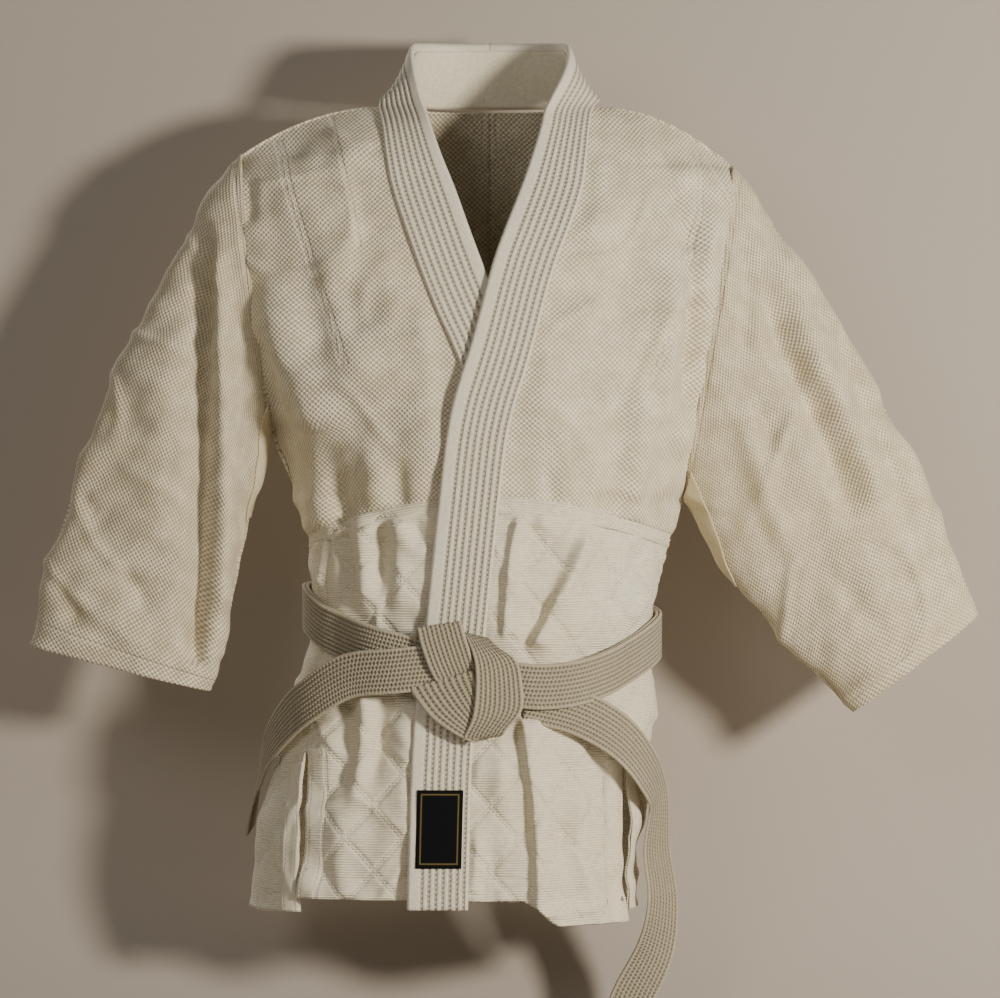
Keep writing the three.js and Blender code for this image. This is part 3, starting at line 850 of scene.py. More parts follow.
class Graph:
    """A new material, with a short call for each kind of node that the finishes use."""

    def __init__(self, name: str) -> None:
        """Make the empty material.

        Args:
            name: name of the finish or piece.
        """
        self.material = bpy.data.materials.new(name)
        self.material.use_nodes = True
        self.tree = self.material.node_tree
        self.tree.nodes.clear()

    def add(self, kind: str, inputs: dict | None = None, out: int | str = 0, **settings: object) -> Socket:
        """Add a node and return one of its outputs."""
        return put(self.tree, f"ShaderNode{kind}", inputs, **settings).outputs[out]

    def math(self, operation: str, *values: float | Socket) -> Socket:
        """Arithmetic on numbers."""
        return self.add("Math", dict(enumerate(values)), operation=operation)

    def vector(self, operation: str, *values: tuple | Socket) -> Socket:
        """Arithmetic on vectors."""
        return self.add("VectorMath", dict(enumerate(values)), operation=operation)

    def ramp(
        self, value: Socket, low: float, high: float, start: float, end: float, smooth: bool = False
    ) -> Socket:
        """Carry the range from low to high over to the range from start to end."""
        kind = "SMOOTHSTEP" if smooth else "LINEAR"
        return self.add("MapRange", {0: value, 1: low, 2: high, 3: start, 4: end}, interpolation_type=kind)

    def noise(self, place: Socket, scale: float, detail: float, out: int = 0) -> Socket:
        """Soft noise; output 0 is a number and 1 a colour."""
        return self.add("TexNoise", {"Vector": place, "Scale": scale, "Detail": detail}, out)

    def blend(self, share: Socket, low: tuple | Socket, high: tuple | Socket) -> Socket:
        """Colour between low and high."""
        return self.add("Mix", {0: share, 6: low, 7: high}, 2, data_type="RGBA")

    def layer(self, name: str) -> Socket:
        """One of the piece's own flat coordinates."""
        return self.add("UVMap", uv_map=name)

    def split(self, vector: Socket) -> Sequence[Socket]:
        """The parts of a vector."""
        return put(self.tree, "ShaderNodeSeparateXYZ", {0: vector}).outputs

    def dashes(self, run: Socket, share: float) -> Socket:
        """1 on each stitch and 0 in the gap after it; run counts the stitches."""
        return self.math("LESS_THAN", self.math("FRACT", run), share)

    def finish(self, colour: Socket, roughness: float, **more: float | Socket) -> Material:
        """Give the material its surface and return it.

        Args:
            colour: base colour.
            roughness: roughness.

        Returns:
            The material.
        """
        inputs = {"Base Color": colour, "Roughness": roughness}
        inputs.update({key.replace("_", " "): value for key, value in more.items()})
        self.close(self.add("BsdfPrincipled", inputs))
        return self.material

    def close(self, surface: Socket) -> None:
        """Link the surface to the material's output."""
        put(self.tree, "ShaderNodeOutputMaterial", {0: surface})


Relief = tuple[Socket, Socket]


@dataclass(frozen=True)
class Finish:
    """What every cotton finish shares: its colours, with painted shade in the recesses of its weave, its
    washed unevenness and its dull surface.
    """

    name: str
    thread: str
    hollow_shade: str
    aged: str
    relief: float = 0.1
    aged_share: float = 0.35

    def pattern(self, g: Graph) -> Relief:
        """Height of the weave, and its share from 0 to 1 between the painted shade colour of its recesses and
        the thread colour.
        """
        raise NotImplementedError

    def material(self) -> Material:
        """Build the material.

        Returns:
            The material.
        """
        g = Graph(self.name)
        relief, light = self.pattern(g)
        height = g.math("MULTIPLY", relief, self.relief * MM)
        place = g.add("TexCoord", out="Object")
        # slow patches of yellowing, about a hand wide
        worn = g.ramp(g.noise(place, 9.0, 3.0), 0.35, 0.7, 0.0, self.aged_share)
        # lint and uneven yarn, a few millimetres across
        shade = g.ramp(g.noise(place, 260.0, 2.0), 0.3, 0.7, 0.93, 1.05)
        # painted shade: where the share is low, in the weave's recesses and sunk rows, the cloth takes the
        # darker shade colour
        body = g.blend(light, linear(self.hollow_shade), linear(self.thread))
        colour = g.vector("MULTIPLY", g.blend(worn, body, linear(self.aged)), shade)
        bump = g.add("Bump", {"Height": height, "Distance": 1.0, "Strength": 1.0})
        return g.finish(
            colour, 0.95, Normal=bump, IOR=1.5, Specular_IOR_Level=0.2, Sheen_Weight=0.12, Sheen_Roughness=0.6
        )


def sew(g: Graph, weave: Socket, groove: Socket, thread: Socket, depth: float, height: float) -> Socket:
    """Sink the stitch lines into the weave and raise their thread."""
    return g.math("MULTIPLY_ADD", thread, height, g.math("MULTIPLY_ADD", groove, -depth, weave))


def seam_relief(g: Graph) -> Relief:
    """Groove and thread of the sewn lines, each from 0 to 1, from the piece's seam coordinates.

    Args:
        g: the material that is being built.

    Returns:
        The seam's height and shade.
    """
    part = g.split(g.layer(SEAM_UV))
    groove = g.ramp(part[1], 0.0, 3.0 * MM, 1.0, 0.0, smooth=True)
    line = g.ramp(part[1], 0.5 * MM, 1.1 * MM, 1.0, 0.0)
    dash = g.dashes(g.math("MULTIPLY", part[0], 1 / (SEAM_STITCH * MM)), 0.62)
    return groove, g.math("MULTIPLY", line, dash)


@dataclass(frozen=True)
class RiceGrain(Finish):
    """Rice-grain cotton: staggered raised grains in soft relief, with painted shade in the dips between them.
    """

    grain: tuple[float, float] = (5.0, 4.6)
    relief: float = 0.75

    def pattern(self, g: Graph) -> Relief:
        """Grains in staggered rows, wandering slightly as woven yarn does.

        Args:
            g: the material that is being built.

        Returns:
            Height and shade of the pattern.
        """
        uv = g.layer(CLOTH_UV)
        drift = g.vector("SUBTRACT", g.noise(uv, 60.0, 2.0, out=1), (0.5, 0.5, 0.5))
        part = g.split(g.vector("MULTIPLY_ADD", drift, (2.4 * MM,) * 3, uv))
        turns = [g.math("MULTIPLY", part[k], 2 * math.pi / (size * MM)) for k, size in enumerate(self.grain)]
        grain = g.math("MULTIPLY", *[g.math("COSINE", turn) for turn in turns])
        # worn patches, where the grains are pressed flat
        uneven = g.math("MULTIPLY_ADD", g.noise(uv, 45.0, 3.0), 1.6, -0.8)
        raised = g.ramp(g.math("ADD", grain, uneven), -0.7, 0.6, 0.0, 1.0, smooth=True)
        groove, thread = seam_relief(g)
        woven = g.math("MULTIPLY", raised, g.math("MULTIPLY_ADD", groove, -0.6, 1.0))
        # painted shade: the colour follows the raised grains, darker in the dips between them
        return sew(g, woven, groove, thread, 1.2, 0.9), g.math("MAXIMUM", raised, thread)


@dataclass(frozen=True)
class RibbedQuilt(Finish):
    """Cotton with fine ribs across it, quilted in diamonds with a pale running stitch."""

    rib: float = 2.3
    relief: float = 0.28

    def pattern(self, g: Graph) -> Relief:
        """Ribs broken into short lengths, and two families of slanted stitch lines.

        Args:
            g: the material that is being built.

        Returns:
            Height and shade of the pattern.
        """
        uv = g.layer(CLOTH_UV)
        slub = g.noise(g.vector("MULTIPLY", uv, (70.0, 420.0, 1.0)), 1.0, 2.0)
        part = g.split(uv)
        turn = g.math("MULTIPLY", part[1], 2 * math.pi / (self.rib * MM))
        rib = g.math("SINE", g.math("MULTIPLY_ADD", slub, 3.0, turn))
        weave = g.math("MULTIPLY_ADD", slub, 1.6, rib)
        wide, tall = DIAMOND
        diagonal = math.hypot(wide, tall)
        u = g.math("MULTIPLY", part[0], 1 / (wide * MM))
        slants = [g.math("MULTIPLY_ADD", part[1], slant / (tall * MM), u) for slant in (1.0, -1.0)]
        groove, thread = seam_relief(g)
        for here, other in (slants, slants[::-1]):
            away = g.math("MULTIPLY", g.math("PINGPONG", here, 0.5), wide * tall / diagonal)
            dash = g.dashes(g.math("MULTIPLY", other, diagonal / 2 / QUILT_STITCH), 0.6)
            line = g.math("MULTIPLY", g.ramp(away, 0.5, 1.3, 1.0, 0.0), dash)
            groove = g.math("MAXIMUM", groove, g.ramp(away, 0.0, 4.5, 1.0, 0.0, smooth=True))
            thread = g.math("MAXIMUM", thread, line)
        # painted shade: the low parts of the ribs take the darker shade colour
        soft = g.ramp(weave, -0.6, 1.6, 0.45, 1.0)
        return sew(g, weave, groove, thread, 3.2, 2.6), g.math("MAXIMUM", soft, thread)


@dataclass(frozen=True)
class StitchedBand(Finish):
    """Firm twill sewn through in close parallel rows, as lapels and belts are."""

    rows: tuple[float, float, int] = LAPEL_ROWS
    stitch: float = 4.4
    relief: float = 0.55
    pucker: float = 0.3

    def pattern(self, g: Graph) -> Relief:
        """A fine twill with sunk rows and raised single stitches, with painted shade in the sunk rows.

        Args:
            g: the material that is being built.

        Returns:
            Height and shade of the pattern.
        """
        uv = g.layer(CLOTH_UV)
        part = g.split(uv)
        first, pitch, count = self.rows
        row = g.math("MULTIPLY_ADD", part[1], 1 / (pitch * MM), -first / pitch)
        nearby = g.math("PINGPONG", row, 0.5)
        above, below = g.math("GREATER_THAN", row, -0.5), g.math("LESS_THAN", row, count - 0.5)
        within = g.math("MULTIPLY", above, below)
        run = g.math("MULTIPLY", part[0], 1 / (self.stitch * MM))
        # neighbouring rows start their stitches at different places
        shifted = g.math("MULTIPLY_ADD", g.math("ROUND", row), 0.37, run)
        groove = g.math("MULTIPLY", g.ramp(nearby, 0.0, 0.34, 1.0, 0.0, smooth=True), within)
        line = g.math("MULTIPLY", g.ramp(nearby, 0.08, 0.17, 1.0, 0.0), g.dashes(shifted, 0.6))
        thread = g.math("MULTIPLY", line, within)
        twill = g.noise(g.vector("MULTIPLY", uv, (700.0, 500.0, 1.0)), 1.0, 1.0)
        # between the rows the cloth puckers once a stitch
        wave = g.math("SINE", g.math("MULTIPLY", shifted, 2 * math.pi))
        puckered = g.math("MULTIPLY_ADD", g.math("MULTIPLY", wave, within), self.pucker, twill)
        # painted shade: the sunk rows take the darker shade colour, lightened a little where the thread lies
        dark = g.math("MULTIPLY_ADD", groove, -0.95, 1.0)
        light = g.math("MAXIMUM", dark, g.math("MULTIPLY", thread, 0.65))
        return sew(g, puckered, groove, thread, 1.3, 0.9), light


@dataclass(frozen=True)
class PlainCotton(Finish):
    """Plain close-woven cotton of tapes, facings and linings."""

    yarn: float = 1.9

    def pattern(self, g: Graph) -> Relief:
        """A plain weave, drawn coarser than real so that it shows, with the sewn lines over it.

        Args:
            g: the material that is being built.

        Returns:
            Height and shade of the pattern.
        """
        scaled = g.vector("MULTIPLY", g.layer(CLOTH_UV), (1 / (self.yarn * MM),) * 3)
        yarn = g.noise(scaled, 1.0, 2.0)
        groove, thread = seam_relief(g)
        # painted shade: the low yarn takes the darker shade colour
        return sew(g, yarn, groove, thread, 4.0, 4.0), g.ramp(yarn, 0.3, 0.7, 0.6, 1.0)


@dataclass(frozen=True)
class WovenLabel:
    """Black damask label with a thin bronze border and no lettering."""

    name: str = "woven_label"
    ground: str = "0E0E10"
    border: str = "6B5B36"
    inset: float = 4.0

    def material(self) -> Material:
        """Build the material from the patch's own flat coordinates.

        Returns:
            The material.
        """
        g = Graph(self.name)
        part = g.split(g.layer(CLOTH_UV))
        edges = [g.math("PINGPONG", part[k], size / 2 * MM) for k, size in enumerate(LABEL_SIZE)]
        away = g.math("ABSOLUTE", g.math("SUBTRACT", g.math("MINIMUM", *edges), self.inset * MM))
        line = g.ramp(away, 0.4 * MM, 0.9 * MM, 0.8, 0.0)
        return g.finish(g.blend(line, linear(self.ground), linear(self.border)), 0.9, Specular_IOR_Level=0.1)


def cotton(kind: type[Finish] | type[WovenLabel], *colours: object, **settings: object) -> Material:
    """Field that builds one material, from its name, its thread colour, the painted shade colour of its
    recesses and its aged colour.
    """
    return field(default_factory=lambda: kind(*colours, **settings).material())


@dataclass
class Cottons:
    """The jacket's materials, one for each real cloth; the sleeves' copy of the rice-grain cotton and the
    gusset cotton are painted darker as shade.
    """

    weave: Material = cotton(RiceGrain, "rice_grain_cotton", "E8DFC8", "B0A385", "DCCBA0")
    # the body's rice-grain cotton, painted a little darker on the sleeves as shade
    sleeve: Material = cotton(RiceGrain, "rice_grain_sleeve_cotton", "E2D7BD", "A99B7C", "D5C49B")
    skirt: Material = cotton(RibbedQuilt, "quilted_ribbed_cotton", "EAE2CC", "BAAD8A", "DDCDA2")
    lapel: Material = cotton(
        StitchedBand, "stitched_lapel_twill", "D8D0BD", "857A62", "CBBE9C", aged_share=0.2
    )
    belt: Material = cotton(
        StitchedBand, "stitched_belt_cotton", "AAA088", "615842", "A09270",
        aged_share=0.25, rows=BELT_ROWS, stitch=3.6, relief=0.6, pucker=0.6,
    )
    # the gusset's own plain cotton, painted darker as the shade between sleeve and body
    gusset: Material = cotton(PlainCotton, "gusset_cotton", "CCC0A0", "A0926F", "C0B084")
    tape: Material = cotton(PlainCotton, "cotton_tape", "E2DAC4", "B5A98A", "D6C8A0")
    label: Material = cotton(WovenLabel)


# ---------------------------------------------------------------- hiding the parts, cut sizes and baked placements


def declare(
    obj: Piece, nodes: Sequence[str], flat: Span,
    rests_on: Sequence[str] = (),
) -> None:
    """Hide the parts that a piece stands for, and log its cut size.

    Args:
        obj: the piece.
        nodes: the parts it stands for.
        flat: width and length of its cut in mm.
        rests_on: not used.
    """
    log.info("%s cut %.0f x %.0f mm", obj.name, *flat)
    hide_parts(*nodes)


def cut_size(
    place: Place, columns: int = 80, rows: int = 60, across: Span = (0, 1), down: Span = (0, 1)
) -> tuple[Span, float]:
    """Width, length and area of a cut piece, from its smooth surface in mm.

    Args:
        place: gives the points of the cloth for its shares across and down.
        columns: points across.
        rows: points down.
        across: share of the cloth across that it covers, from and to.
        down: share of the cloth down that it covers, from and to.

    Returns:
        Width and length of the flat cloth and its area.
    """
    points = place(*np.meshgrid(np.linspace(*across, columns), np.linspace(*down, rows)))
    widths = np.linalg.norm(np.diff(points, axis=1), axis=2).sum(axis=1)
    lengths = np.linalg.norm(np.diff(points, axis=0), axis=2).sum(axis=0)
    edges = np.cross(points[1:, :-1] - points[:-1, :-1], points[:-1, 1:] - points[:-1, :-1])
    return (float(widths.max()), float(lengths.max())), float(np.linalg.norm(edges, axis=2).sum())


def bend_with_sleeve(obj: Piece, side: Side) -> None:
    """Bake the piece's placement into its mesh."""
    f"sleeve_of_{side.word}_arm"
    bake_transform(obj)


def bend_with_flap(obj: Piece, body: str) -> None:
    """Bake the piece's placement into its mesh."""
    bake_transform(obj)


# ---------------------------------------------------------------- sub-assemblies

FRONT_FOLDS = {
    Side.RIGHT: (
        Fold(((-206, -151), (-185, -222), (-164, -275), (-149, -328)), 11, 18, 22),
        Fold(((-214, -190), (-200, -260), (-186, -320)), -6, 12, 12),
        Fold(((-185, -116), (-143, -258)), -5, 18, 18),
        Fold(((-135, -158), (-114, -222)), -5, 15, 15),
        Fold(((-160, -110), (-132, -190), (-112, -300)), 4, 16, 16),
        Fold(((-218, -63), (-222, -116)), -5, 6, 8),
        Fold(((-142, -324), (-136, -366), (-134, -416)), -9, 6, 10),
        Fold(((-162, -300), (-156, -350), (-150, -400)), 6, 12, 9),
        Fold(((-112, -300), (-106, -340), (-104, -372)), 5, 10, 12, (0.4, 0.05)),
        Fold(((-84, -320), (-82, -350), (-80, -372)), -4, 8, 8, (0.4, 0.05)),
        Fold(((-70, -200), (-60, -280), (-58, -350)), 3, 16, 16),
    ),
    Side.LEFT: (
        Fold(((186, -140), (188, -175), (184, -239), (180, -310)), -16, 7, 10),
        Fold(((170, -110), (166, -175), (160, -239), (157, -320)), 10, 16, 9),
        Fold(((132, -90), (120, -160), (112, -240)), -5, 18, 18),
        Fold(((96, -80), (92, -150), (86, -230)), 4, 14, 16),
        Fold(((177, -104), (184, -140)), -6, 8, 8),
        Fold(((209, -90), (194, -154), (190, -196)), 9, 9, 9),
        Fold(((163, -83), (180, -111)), -5, 8, 8),
        Fold(((108, -203), (134, -213)), -2.2, 2.5, 3),
        Fold(((127, -188), (152, -193)), -2.2, 2.5, 3),
        Fold(((67, -278), (92, -270), (106, -267)), -4, 6, 6),
        Fold(((62, -300), (90, -320), (104, -360)), 5, 12, 12, (0.4, 0.1)),
        Fold(((120, -250), (114, -310), (110, -380)), -5, 10, 12, (0.4, 0.05)),
        Fold(((140, -230), (136, -300), (132, -388)), 5, 10, 10, (0.4, 0.05)),
        Fold(((50, -330), (54, -350), (56, -370)), -4, 6, 8, (0.4, 0.05)),
        Fold(((196, -226), (184, -262), (172, -330)), 6, 8, 12),
    ),
}
SKIRT_FOLDS = {
    Side.RIGHT: (
        Fold(((-138, -372), (-131, -412), (-126, -466)), -9, 7, 8, (0.05, 0.2)),
        Fold(((-98, -374), (-98, -412), (-96, -472)), -8, 6, 9, (0.05, 0.3)),
        Fold(((-116, -374), (-114, -408), (-112, -462)), 8, 9, 8, (0.05, 0.2)),
        Fold(((-82, -374), (-80, -420), (-76, -466)), 6, 9, 12, (0.05, 0.3)),
        Fold(((-66, -376), (-64, -410)), -4, 5, 6),
        Fold(((-130, -530), (-128, -592), (-149, -642)), -7, 10, 10, (0.1, 0.4)),
        Fold(((-101, -524), (-99, -571), (-109, -630)), -7, 8, 9, (0.1, 0.4)),
        Fold(((-74, -520), (-72, -580), (-84, -690)), 6, 14, 18, (0.1, 0.3)),
        Fold(((-115, -520), (-113, -580), (-126, -660)), 6, 8, 9, (0.1, 0.4)),
        Fold(((-54, -520), (-52, -580), (-54, -680)), -4, 9, 9, (0.1, 0.4)),
        Fold(((-134, -600), (-134, -660), (-132, -722)), 5, 12, 12, (0.4, 0.05)),
    ),
    Side.LEFT: (
        Fold(((90, -384), (77, -402), (70, -424), (54, -462), (34, -500)), 13, 3.5, 20, (0.2, 0.1)),
        Fold(((60, -386), (58, -410), (50, -440), (36, -480)), -5, 14, 10, (0.3, 0.2)),
        Fold(((26, -374), (20, -400), (16, -430), (12, -490)), 8, 3.5, 10, (0.1, 0.1)),
        Fold(((48, -374), (44, -390)), 5, 6, 6),
        Fold(((28, -552), (33, -600), (38, -642), (41, -740)), 12, 3.5, 16, (0.05, 0.02)),
        Fold(((64, -560), (66, -620), (70, -730)), -4, 10, 14, (0.1, 0.05)),
        Fold(((112, -400), (109, -441), (106, -472)), -6, 7, 8),
        Fold(((130, -400), (131, -440), (128, -474)), 5, 7, 7),
        Fold(((-11, -660), (-17, -715)), 5, 9, 8, (0.3, 0.02)),
        Fold(((4, -668), (-2, -722)), -4.0, 6, 7, (0.3, 0.02)),
        Fold(((8, -560), (10, -600), (8, -650)), 5, 9, 9),
        Fold(((84, -530), (92, -580), (100, -660)), -6, 11, 11, (0.1, 0.4)),
        Fold(((104, -524), (110, -580), (112, -650)), 4, 8, 8, (0.1, 0.4)),
        Fold(((74, -600), (80, -660), (86, -740)), 4, 12, 12, (0.4, 0.05)),
    ),
}
SLEEVE_FOLDS = {
    Side.RIGHT: (
        Fold(((-258, -98), (-259, -269), (-262, -416), (-267, -517)), -17, 15, 5, (0.15, 0.02)),
        Fold(((-247, -103), (-245, -269), (-248, -416), (-252, -508)), 11, 7, 10, (0.15, 0.15)),
        Fold(((-226, -180), (-224, -300), (-226, -420), (-232, -505)), -6, 8, 10, (0.3, 0.1)),
        Fold(((-290, -190), (-300, -300), (-306, -430)), 7, 20, 20),
        Fold(((-330, -230), (-350, -330), (-362, -430)), -4, 20, 20),
        Fold(((-397, -427), (-376, -484)), -5, 10, 10),
        Fold(((-340, -417), (-308, -469)), -4, 8, 8),
        Fold(((-379, -356), (-362, -377)), -3, 7, 7),
    ),
    Side.LEFT: (
        Fold(((244, -150), (272, -232), (308, -310), (335, -400)), -14, 10, 14),
        Fold(((266, -150), (298, -232), (338, -310), (370, -400)), 11, 14, 20),
        Fold(((300, -180), (340, -270), (390, -400)), -7, 18, 18),
        Fold(((290, -110), (330, -190), (380, -290)), 5, 16, 16),
        Fold(((244, -267), (258, -320)), -5, 9, 9),
        Fold(((228, -270), (246, -340), (280, -430)), 6, 12, 12),
        Fold(((232, -110), (236, -180), (230, -250)), -5, 8, 10),
        Fold(((300, -420), (340, -460), (370, -500)), -3, 10, 10),
    ),
}


def straight(side: Side) -> Callable[[Array, Array], Array]:
    """Lay a front or back cloth so that its weave runs straight up and level.

    Args:
        side: the side of the jacket.

    Returns:
        A function of the cloth's points and shares.
    """

    def flat(base: Array, uv: Array) -> Array:
        """Distances over the flat cloth, from the middle of the jacket."""
        start = side.value * base[:, :1, 0] * MM
        return np.stack([uv[..., 0] + start, -base[..., 2] * MM], axis=-1)

    return flat


# edges of the second layer inside the fronts, each with half the distance between its twin rows
INNER_EDGES = {
    Side.RIGHT: (
        (((-196, -30), (-183, -77), (-155, -171), (-129, -242)), 2.5),
        (((-147, -7), (-127, -86), (-118, -135)), 0.0),
    ),
    Side.LEFT: (
        (((193, -39), (225, -112), (226, -195), (218, -218)), 0.0),
        (((186, -30), (190, -90), (170, -180), (140, -262)), 2.5),
    ),
}
BACK_EDGE = ((60, -3), (95, -90), (70, -200), (0, -230))


@dataclass
class UpperBody:
    """The rice-grain fronts and back, above the waist seam."""

    cottons: Cottons

    def place(self, side: Side, face: Face) -> Place:
        """Surface of one panel; a runs from the lapel or centre back outwards, t downwards.

        Args:
            side: the side of the jacket.
            face: front or back.

        Returns:
            The place of the cloth.
        """
        s, top = side.value, -0.5

        def at(a: Array, t: Array) -> Array:
            """Points of this cloth for shares across and down.

            Args:
                a: shares across the cloth.
                t: shares down the cloth.

            Returns:
                Points of the cloth, in mm.
            """
            row = top - (top - BODY.waist) * t**1.5
            inner = BODY.lapel_edge(side, row, 1) - s * 5 if face is Face.FRONT else 0 * row
            spread = np.sin(a * np.pi / 2)
            z = row
            for _ in range(8):
                x = mix(inner, s * BODY.outer_half(z, side), spread)
                z = row + t**4 * (BODY.waist_line(x) - BODY.waist)
            y = BODY.front(x, z, side) if face is Face.FRONT else BODY.y(x, z, face)
            return np.stack([x, y, z], axis=-1)

        return at

    def seams(self, side: Side, face: Face) -> Stitching:
        """Stitch lines of one panel: the armhole, the waist and the reinforcement inside.

        Args:
            side: the side of the jacket.
            face: front or back.

        Returns:
            Distances over the seams, in mm.
        """

        def at(base: Array, a: Array, t: Array) -> Array:
            """Points of this cloth for shares across and down.

            Args:
                base: points of the cloth without folds, in mm.
                a: shares across the cloth.
                t: shares down the cloth.

            Returns:
                Points of the cloth, in mm.
            """
            x, z = base[..., 0], base[..., 2]
            waist = np.where(t > 0.9, z - BODY.waist_line(x) - 4, NO_SEAM)
            found = [stitches(-z, (1 - a) * SIDE_HALF - 6), stitches(x, waist)]
            if face is Face.BACK:
                found.append(stitches(-z, np.abs(x) - 6))
                found.append(stitch_lines(x * side.value, z, [BACK_EDGE], 2.5))
            else:
                found += [stitch_lines(x, z, [line], twin) for line, twin in INNER_EDGES[side]]
            return nearest_seam(*found)

        return at

    def calm(self, base: Array, a: Array, t: Array, height: Array) -> Array:
        """Settle the cloth beside the lapel, along the shoulder, round the armhole and at the waist.

        Args:
            base: points of the cloth without folds, in mm.
            a: shares across the cloth.
            t: shares down the cloth.
            height: height of the folds, in mm.

        Returns:
            Height of the folds that is left, in mm.
        """
        drop = BODY.shoulder_line(base[..., 0]) - base[..., 2]
        beside = rise(a * 200, 2, 22) * rise((1 - a) * SIDE_HALF, 0, 9)
        return height * beside * rise(drop, 2, 30) * rise((1 - t) * 520, 0, 10)

    def make(self) -> None:
        """Build the four panels and the tapes on them."""
        for side in Side:
            for face, layer in ((Face.FRONT, "chest"), (Face.BACK, "back")):
                word = f"{face.name.lower()}_panel_{side.word}"
                place = self.place(side, face)
                folds = FRONT_FOLDS[side] if face is Face.FRONT else ()
                drape = Drape(folds, seed=13 + side.value + 7 * face.value, reach=105, height=2.0)
                obj = Cloth(
                    f"{word}_cloth", place, 84, 150, self.cottons.weave, drape, lift=0.4,
                    seam=self.seams(side, face), calm=self.calm, flat=straight(side),
                ).make()
                size, area = cut_size(place, 40)
                declare(obj, [word, f"{layer}_reinforcement_{side.word}"], size)
                bend_with_sleeve(obj, side)
            self.waist_tape(side)
        self.back_tape()

    def waist_tape(self, side: Side) -> None:
        """The narrow tape over the waist seam, from the left lapel to the side.

        Args:
            side: the side of the jacket.
        """
        s = side.value

        def at(a: Array, t: Array) -> Array:
            """Points of this cloth for shares across and down.

            Args:
                a: shares across the cloth.
                t: shares down the cloth.

            Returns:
                Points of the cloth, in mm.
            """
            near = BODY.lapel_edge(Side.LEFT, np.full(a.shape, BODY.waist), s) - s * 2
            x = mix(near, s * 0.985 * BODY.waist_half[side], np.sin(a * np.pi / 2))
            z = BODY.waist_line(x) + (0.5 - t) * WAIST_TAPE
            return np.stack([x, BODY.front(x, z, side), z], axis=-1)

        drape = Drape(SKIRT_FOLDS[side] + FRONT_FOLDS[side], seed=12 + side.value, reach=24, height=0.5)
        obj = Cloth(
            f"waist_tape_{side.word}_cloth", at, 110, 10, self.cottons.skirt, drape, lift=1.1, thickness=0.7,
            across=(0, 0.96), seam=lambda base, a, t: stitches(base[..., 0], tape_edges(t) * WAIST_TAPE),
            calm=lambda base, a, t, height: 1.1 + (height - 1.1) * 0.35,
        ).make()
        nodes = [f"waist_seam_tape_{side.word}"]
        declare(obj, nodes, (WAIST_TAPE, 170), [f"front_panel_{side.word}_cloth"])
        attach(obj, "jacket")

    def back_tape(self) -> None:
        """The tape down the centre back seam."""

        def at(a: Array, t: Array) -> Array:
            """Points of this cloth for shares across and down."""
            x, z = (a - 0.5) * BACK_TAPE, mix(-9.0, BODY.waist + 4, t)
            return np.stack([x, BODY.y(x, z, Face.BACK), z], axis=-1)

        drape = Drape((), seed=4, reach=110, height=0.2)
        obj = Cloth(
            "back_seam_tape_cloth", at, 10, 150, self.cottons.tape, drape, lift=2.4, thickness=1.2,
            seam=lambda base, a, t: stitches(-base[..., 2], tape_edges(a) * BACK_TAPE),
        ).make()
        declare(obj, ["back_seam_tape"], (BACK_TAPE, 370), ["back_panel_left_cloth"])
        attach(obj, "jacket")


